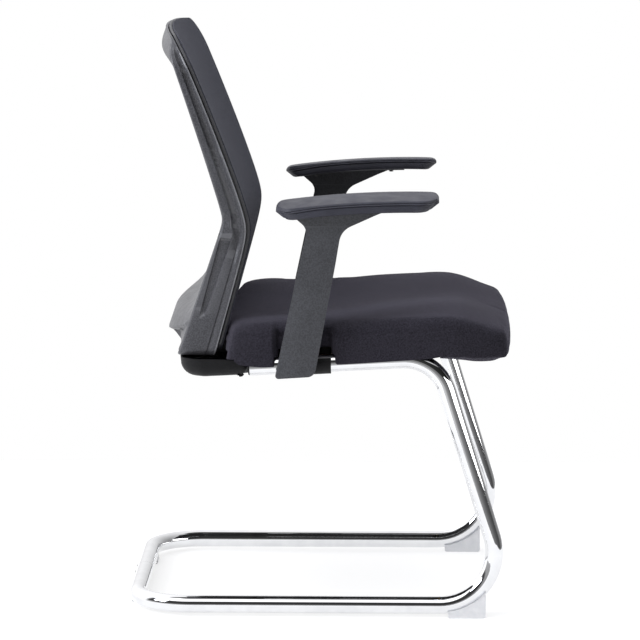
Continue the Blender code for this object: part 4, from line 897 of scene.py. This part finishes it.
def side_relief(z):
    """Share of the depth and sinking of eight points across the upright's outer face.

    Behind a lip along the front a flute deepens toward a step. It fades out below the waist, where a
    tapering flat recess begins at the rear.
    """
    above = z - WAIST_HEIGHT
    below = blend(above, 0.006, -0.006)
    narrow = blend(above, 0.01, -0.03)
    flute = blend(above, -0.075, 0.0) * blend(BACK_TOP - z, 0.014, 0.026)
    recess = blend(above, -0.014, -0.018) * blend(z - BACK_BOTTOM, 0.062, 0.07)
    taper = min(1.0, max(0.0, (-0.02 - above) / 0.115))
    wall = 0.52 + 0.12 * taper
    rear = 0.9 - 0.14 * taper
    lower = (*BELOW_WAIST, (wall - 0.03, 0.0), (wall, RECESS_SINK), (rear - 0.03, RECESS_SINK), (rear, 0.0))
    relief = []
    for (share_up, sink_up), (share_low, sink_low) in zip(FLUTE, lower):
        turned = below if share_low > 0.4 else narrow
        share = share_up + (share_low - share_up) * turned
        relief.append((share, sink_up * flute + sink_low * (recess if share_low > 0.4 else turned)))
    return relief


def closed_ring(name, half):
    """Ring skinned from the sections of its right half."""
    loops = half + [[(-x, y, z) for x, y, z in loop] for loop in half[-2:0:-1]]
    return new_object(name, loft(name, loops, closed_run=True))


def make_moulding():
    window = contour(WINDOW_HALF_WIDTH, WINDOW_TOP, WINDOW_BOTTOM, WINDOW_TOP_CORNER, WINDOW_BOTTOM_CORNER)
    outline = contour(BACK_HALF_WIDTH, BACK_TOP, BACK_BOTTOM, BACK_TOP_CORNER, MOULDING_BOTTOM_CORNER)
    moulding = closed_ring("back_moulding", [back_frame_section(*pair) for pair in zip(outline, window)])
    bevel(moulding, 0.0004, 2, 28.0)
    smooth(moulding, 22.0)
    place(moulding, "nylon", "back_frame", "moulding")
    # Faces along the front lip, outside the window, get the lighter material: a painted highlight line
    moulding.data.materials.append(LOOKS["lip"])
    lip_reach, lip_inner_x = LIP_WIDTH + 0.0008, WINDOW_HALF_WIDTH + 0.02
    for polygon in moulding.data.polygons:
        x, y, z = polygon.center
        if y - back_surface(x, z) < lip_reach and abs(polygon.normal.y) < 0.85 and abs(x) > lip_inner_x:
            polygon.material_index = 1


def make_inner_ring():
    loops = []
    for station in BACK_OUTLINE:
        loop = []
        for depth, forward in RING_SECTION:
            x, z = sunk(station, inset_at(station, INNER_FRAME_INSET) + depth)
            loop.append((x, back_surface(x, z) + forward, crowned(x, z)))
        loops.append(loop)
    inner = smooth(closed_ring("back_inner_ring", loops), 35.0)
    place(inner, "shell", "back_inner_frame", "ring")


def make_sheet():
    edge = BACK_STATIONS[0]
    loops = []
    for station in BACK_OUTLINE[edge:-edge]:
        reach, z = sunk(station, inset_at(station, MESH_INSET))
        row = [reach * (2.0 * i / SHEET_COLUMNS - 1.0) for i in range(SHEET_COLUMNS + 1)]
        loops.append([(x, back_surface(x, z) - INNER_FRAME_DEPTH - GAP, crowned(x, z)) for x in row])
    sheet = new_object("back_sheet", loft("back_sheet", loops, closed_loops=False, caps=False))
    facing = sum(polygon.normal.y for polygon in sheet.data.polygons)
    modify(sheet, "SOLIDIFY", thickness=SHEET_THICKNESS, offset=-1.0 if facing > 0 else 1.0)
    smooth(sheet, 50.0)
    place(sheet, "mesh", "back_mesh")


def make_arms(plane):
    for side, word in SIDES:
        mesh = curve_mesh(arm_outline(), thickness=ARM_THICKNESS)
        x = side * (ARM_INNER_X + ARM_THICKNESS / 2)
        mesh.transform(Matrix(((0, 0, 1, x), (1, 0, 0, 0), (0, 1, 0, 0), (0, 0, 0, 1))))
        arm = new_object("armrest_" + word, mesh)
        bevel(arm, 0.0045, 5, 50.0)
        stations = spread(ARM_PLATE_FRONT_Y - 0.04, ARM_PLATE_REAR_Y + 0.04, 25)
        change(arm, "DIFFERENCE", arm_layer(side, 0.08, stations, 0.0, 0.05))
        change(arm, "UNION", arm_plate(side, 0.0))
        foot = new_object("foot", arm_foot(side))
        bevel(foot, 0.002, 3, 30.0)
        mesh = foot.data
        bpy.data.objects.remove(foot)
        mesh.transform(plane)
        change(arm, "UNION", mesh)
        smooth(arm, 35.0)
        place(arm, "nylon", "arm_" + word)
        pad = place(make_pad(side, "armrest_pad_" + word), "pad", "arm_pad_" + word)


def make_pad(side, name):
    """Arm pad: crowned top, a bead between two grooves below its edge, and a flat lower band."""
    length = PAD_REAR_Y - PAD_FRONT_Y
    middle = [0.04 + (length - 0.08) * i / 26 for i in range(27)]
    loops = []
    for distance in (*PAD_END_STATIONS, *middle, *(length - end for end in reversed(PAD_END_STATIONS))):
        y = PAD_FRONT_Y + distance
        along = (PAD_REAR_Y - y) / length
        split = 0.6 + 0.14 * blend(along, 0.0, 0.3)
        half = [*PAD_FOOT, *((across, split + rise) for across, rise in PAD_BEAD), *PAD_CROWN]
        section = [*((-across, height) for across, height in half), (0.0, 1.044), *reversed(half)]
        near = min(1.0, min(distance, length - distance) / PAD_END_ROUND)
        swell = math.sqrt(1.0 - (1.0 - near) ** 2)
        loop = []
        for across, height in section:
            reach = pad_extent(y, across < 0) - 0.006 * (1.0 - swell)
            dx = reach * across
            rise = (0.35 + (height - 0.35) * (0.45 + 0.55 * swell)) * PAD_THICKNESS
            z = pad_top(y) - PAD_THICKNESS - dx * math.tan(PAD_TILT) + rise
            lean = PAD_END_LEAN * max(0.0, 0.75 - height)
            lean *= blend(along, 0.3, 0.0) - blend(along, 0.7, 1.0)
            loop.append((side * (PAD_CENTRE_X + dx), y - lean, z))
        loops.append(loop)
    pad = new_object(name, loft(name, loops))
    change(pad, "DIFFERENCE", arm_plate(side, 2 * GAP))
    smooth(pad, 50.0)
    return pad


def cushion_form():
    """Starting form of the cushion in the seat plane, a little inside the CAD solid."""
    columns, rows = CUSHION_GRID
    form = bmesh.new()
    bmesh.ops.create_grid(form, x_segments=columns, y_segments=rows, size=1.0)
    layer = {vert: 0 for vert in form.verts}
    for level in range(1, len(CUSHION_LAYERS)):
        faces = [face for face in form.faces if all(layer[vert] == level - 1 for vert in face.verts)]
        made = bmesh.ops.extrude_face_region(form, geom=faces)["geom"]
        layer.update((item, level) for item in made if isinstance(item, bmesh.types.BMVert))
        if level > 1:
            bmesh.ops.delete(form, geom=faces, context="FACES_ONLY")
    middle_y = (CUSHION_FRONT_Y + CUSHION_REAR_Y) / 2
    half_length = (CUSHION_REAR_Y - CUSHION_FRONT_Y) / 2
    for vert, level in layer.items():
        u, v = (0.4 * share + 0.6 * math.sin(share * math.pi / 2) for share in vert.co.xy)
        bow = CUSHION_REAR_BOW * (1.0 - u * u) * blend(v, 0.3, 1.0)
        y = middle_y + half_length * v * math.sqrt(1.0 - (0.1 if v < 0 else 0.02) * u * u) + bow
        x = CUSHION_HALF_WIDTH * u * math.sqrt(1.0 - (0.22 if v < 0 else 0.03) * v ** 4)
        edge = max(abs(u), abs(v)) ** 6
        top = cushion_top(x, y)
        bottom = CUSHION_BOTTOM - SKIRT_DROP - CUSHION_NOSE_DROP * blend(-y, 0.17, 0.29)
        share, tuck = CUSHION_LAYERS[level]
        height = bottom + (top - bottom) * share
        narrow = 1.0 + (tuck - 1.0) * edge
        forward = 1.0 + (tuck - 1.0) * edge * (0.6 if v < 0 else 0.15)
        lean = (CUSHION_REAR_LEAN - 0.04) * (height - bottom) * blend(v, 0.5, 1.0)
        nose = NOSE_SWELL * blend(-v, 0.8, 1.0) * (1.0 - (share - 0.4) ** 2)
        vert.co = Vector((x * narrow, middle_y + (y - middle_y) * forward - lean - nose, height))
    return mesh_from_bmesh("cushion", form)


def inflate(target):
    """Let the foam swell against its cover, each point by a capped distance."""
    modify(target, "REMESH", mode="VOXEL", voxel_size=CUSHION_VOXEL)
    start = [vert.co.copy() for vert in target.data.vertices]
    cloth = target.modifiers.new("swell", "CLOTH")
    for key, value in CUSHION_CLOTH.items():
        setattr(cloth.settings, key, value)
    cloth.settings.effector_weights.gravity = 0.0
    cloth.collision_settings.use_collision = False
    scene = bpy.context.scene
    for number in range(1, CUSHION_CLOTH_FRAMES + 1):
        scene.frame_set(number)
    apply_modifiers(target)
    scene.frame_set(1)
    for vert, origin in zip(target.data.vertices, start):
        move = vert.co - origin
        if move.length > CUSHION_SWELL_CAP:
            vert.co = origin + move.normalized() * CUSHION_SWELL_CAP
    modify(target, "SMOOTH", factor=0.5, iterations=4)
    modify(target, "SUBSURF", levels=1)


def make_cushion(plane):
    cushion = new_object("seat_pad", cushion_form())
    modify(cushion, "SUBSURF", levels=2)
    inflate(cushion)
    draw_in(cushion)
    sew(cushion)
    for low, high in seat_recesses():
        change(cushion, "DIFFERENCE", box(low, high))
    cushion.data.transform(plane)
    smooth(cushion, 60.0)
    place(cushion, "fabric", "seat_cushion")


def draw_in(target):
    """Pull the sides in where the arms pass, and let the skirt hang elsewhere."""
    for vert in target.data.vertices:
        x, y, z = vert.co
        waist = blend(y, CUSHION_WAIST_FRONT_Y + 0.007, CUSHION_WAIST_FRONT_Y + 0.015)
        waist -= blend(y, CUSHION_WAIST_REAR_Y - 0.014, CUSHION_WAIST_REAR_Y - 0.005)
        top = blend(cushion_top(x * 0.9, y) - z, 0.002, 0.016)
        shift = CUSHION_WAIST * waist * blend(abs(x), 0.19, 0.25) * (0.35 + 0.65 * top)
        vert.co.x = x - math.copysign(shift, x)
        hang = SKIRT_HANG * (1.0 - waist) * (1.0 - blend(y, 0.08, 0.135))
        vert.co.z -= hang * blend(abs(x), 0.248, 0.257) * blend(-z, -0.004, 0.008)


def sew(target):
    """Shallow seam round the cushion, a little below its top edge."""
    for vert in target.data.vertices:
        x, y, z = vert.co
        waist = blend(y, CUSHION_WAIST_FRONT_Y - 0.012, CUSHION_WAIST_FRONT_Y + 0.008)
        waist -= blend(y, CUSHION_WAIST_REAR_Y - 0.006, CUSHION_WAIST_REAR_Y + 0.012)
        half = CUSHION_HALF_WIDTH - CUSHION_WAIST * waist
        side = max(blend(abs(x), half - 0.022, half - 0.008), blend(-y, 0.272, 0.29), blend(y, 0.1, 0.13))
        line = cushion_top(x * 0.9, y) - SEAM_DROP
        depth = SEAM_DEPTH * side * math.exp(-((z - line) / SEAM_WIDTH) ** 2)
        outward = Vector((x / 0.26, (y + 0.075) / 0.25, 0.0))
        vert.co -= outward.normalized() * depth


def make_tray(plane):
    plan = tray_plan()
    loops = [[(x, y, tray_rim(x, y)) for x, y in plan]]
    for turn in range(1, 9):
        angle = math.pi / 2 * turn / 8
        loop = []
        for before, (x, y), after in zip(plan[-1:] + plan, plan, plan[1:] + plan[:1]):
            along = (after - before).normalized()
            radius = TRAY_CORNER + (TRAY_FRONT_ROUND - TRAY_CORNER) * (1.0 - blend(y, -0.18, -0.12))
            radius += (TRAY_REAR_ROUND - TRAY_CORNER) * blend(y, 0.17, 0.2)
            shift = Vector((-along.y, along.x)) * radius * (1.0 - math.cos(angle))
            deep = min(radius, TRAY_DEPTH + tray_rim(x, y) - 0.002)
            loop.append((x + shift.x, y + shift.y, -TRAY_DEPTH + deep * (1.0 - math.sin(angle))))
        loops.append(loop)
    form = bmesh.new()
    form.from_mesh(loft("seat_shell", loops, caps=False))
    low_edges = (edge for edge in form.edges if abs(edge.verts[0].co.z + TRAY_DEPTH) < 0.0001)
    bmesh.ops.contextual_create(form, geom=[edge for edge in low_edges if edge.is_boundary])
    tray = new_object("seat_shell", mesh_from_bmesh("seat_shell", form))
    down = sum(polygon.normal.z * polygon.area for polygon in tray.data.polygons)
    modify(tray, "SOLIDIFY", thickness=TRAY_WALL, offset=-1.0 if down < 0 else 1.0)
    spots = [(side * TRAY_POST_X, y) for y in (FRONT_CROSSBAR_Y, REAR_CROSSBAR_Y) for side in (-1, 1)]
    change(tray, "UNION", posts(TRAY_POST_RADIUS, spots, 0.001 - TRAY_DEPTH, 0.0, 24))
    change(tray, "DIFFERENCE", posts(TRAY_SCREW_RADIUS + GAP, spots, -0.06, 0.01, 16))
    change(tray, "DIFFERENCE", posts(TRAY_SCREW_HEAD_RADIUS, spots, -0.06, TRAY_WALL - TRAY_DEPTH, 24))
    tray.data.transform(plane)
    smooth(tray, 40.0)
    place(tray, "shell", "seat_tray")


# Stage
def grey(level):
    return level, level, level, 1.0


def make_floor():
    form = bmesh.new()
    bmesh.ops.create_grid(form, x_segments=2, y_segments=2, size=FLOOR_HALF_SIZE)
    floor = new_object("floor", mesh_from_bmesh("floor", form))
    look = bpy.data.materials.new("white_floor")
    look.use_nodes = True
    tree = look.node_tree
    tree.nodes.clear()
    paper = add_node(tree, "BsdfDiffuse", {"Color": grey(FLOOR_GREY)}).outputs[0]
    dimmed = add_node(tree, "BsdfDiffuse", {"Color": grey(FLOOR_SEEN_GREY)}).outputs[0]
    glow = add_node(tree, "Emission", {"Color": grey(1.0), "Strength": FLOOR_LIFT}).outputs[0]
    lifted = add_node(tree, "AddShader", {0: dimmed, 1: glow}).outputs[0]
    path = add_node(tree, "LightPath").outputs
    seen = path["Is Camera Ray"]
    for name in ("Is Glossy Ray", "Is Transmission Ray"):
        seen = add_node(tree, "Math", {0: seen, 1: path[name]}, operation="MAXIMUM").outputs[0]
    both = add_node(tree, "MixShader", {0: seen, 1: paper, 2: lifted}).outputs[0]
    add_node(tree, "OutputMaterial", {"Surface": both})
    floor.data.materials.append(look)


def make_world():
    """White behind the chair, and a studio of bright panels and dark gaps around it."""
    world = bpy.data.worlds.new("studio")
    bpy.context.scene.world = world
    world.use_nodes = True
    tree = world.node_tree
    tree.nodes.clear()
    space = add_node(tree, "TexCoord").outputs["Generated"]
    parts = add_node(tree, "SeparateXYZ", {0: space}).outputs

    def ranged(source, reach, to_low=0.0, to_high=1.0, **settings):
        limits = {"From Min": -reach, "From Max": reach, "To Min": to_low, "To Max": to_high}
        return add_node(tree, "MapRange", {"Value": source, **limits}, **settings).outputs["Result"]

    def ramp(stops, source):
        made = add_node(tree, "ValToRGB", {0: source})
        ends = made.color_ramp.elements
        while len(ends) < len(stops):
            ends.new(0.5)
        for slot, (position, level) in zip(ends, stops):
            slot.position = position
            slot.color = (level, level, level * 1.01, 1.0)
        return made.outputs[0]

    height = ranged(parts["Z"], 1.0)
    across = ranged(parts["X"], SKY_EDGE, interpolation_type="SMOOTHSTEP")
    sides = {"Fac": across, "Color1": ramp(SKY_NEAR, height), "Color2": ramp(SKY_FAR, height)}
    colour = add_node(tree, "MixRGB", sides).outputs[0]
    strength = ranged(parts["Y"], 1.0, SKY_FRONT, SKY_REAR)
    studio = add_node(tree, "Background", {"Strength": strength, "Color": colour}).outputs[0]
    white = add_node(tree, "Background", {"Color": grey(1.0)}).outputs[0]
    seen = add_node(tree, "LightPath").outputs["Is Camera Ray"]
    both = add_node(tree, "MixShader", {0: seen, 1: studio, 2: white}).outputs[0]
    add_node(tree, "OutputWorld", {"Surface": both})


def aim(made, spot, direction):
    made.location = spot
    made.rotation_euler = direction.to_track_quat("-Z", "Y").to_euler()


def make_lamps():
    for name, spot, size, power, glossy, diffuse, tint in LAMPS:
        data = bpy.data.lights.new(name, "AREA")
        data.shape = "RECTANGLE"
        data.size, data.size_y = size
        data.energy, data.color = power, tint
        lamp = new_object(name, data)
        aim(lamp, spot, Vector(LAMP_AIM) - Vector(spot))
        lamp.visible_glossy = glossy
        lamp.visible_diffuse = diffuse
        lamp.visible_camera = False


def make_camera():
    data = bpy.data.cameras.new("camera")
    data.lens = CAMERA_LENS
    data.sensor_width = 36.0
    data.clip_end = 50.0
    camera = new_object("camera", data)
    level = math.cos(CAMERA_PITCH)
    view = (math.cos(CAMERA_YAW) * level, math.sin(CAMERA_YAW) * level, -math.sin(CAMERA_PITCH))
    aim(camera, CAMERA_PLACE, Vector(view))
    bpy.context.scene.camera = camera


def save_sizes():
    import json


make_camera()
bpy.context.scene.view_settings.view_transform = "Standard"
dress_packed_nodes()
SEAT_PLANE = Matrix.Translation((0.0, 0.0, seat_plane_height(0.0))) @ Matrix.Rotation(-RAIL_RISE, 4, "X")
make_tubes()
make_moulding()
make_inner_ring()
make_sheet()
make_arms(SEAT_PLANE)
make_cushion(SEAT_PLANE)
make_tray(SEAT_PLANE)
make_floor()
make_world()
make_lamps()
save_sizes()
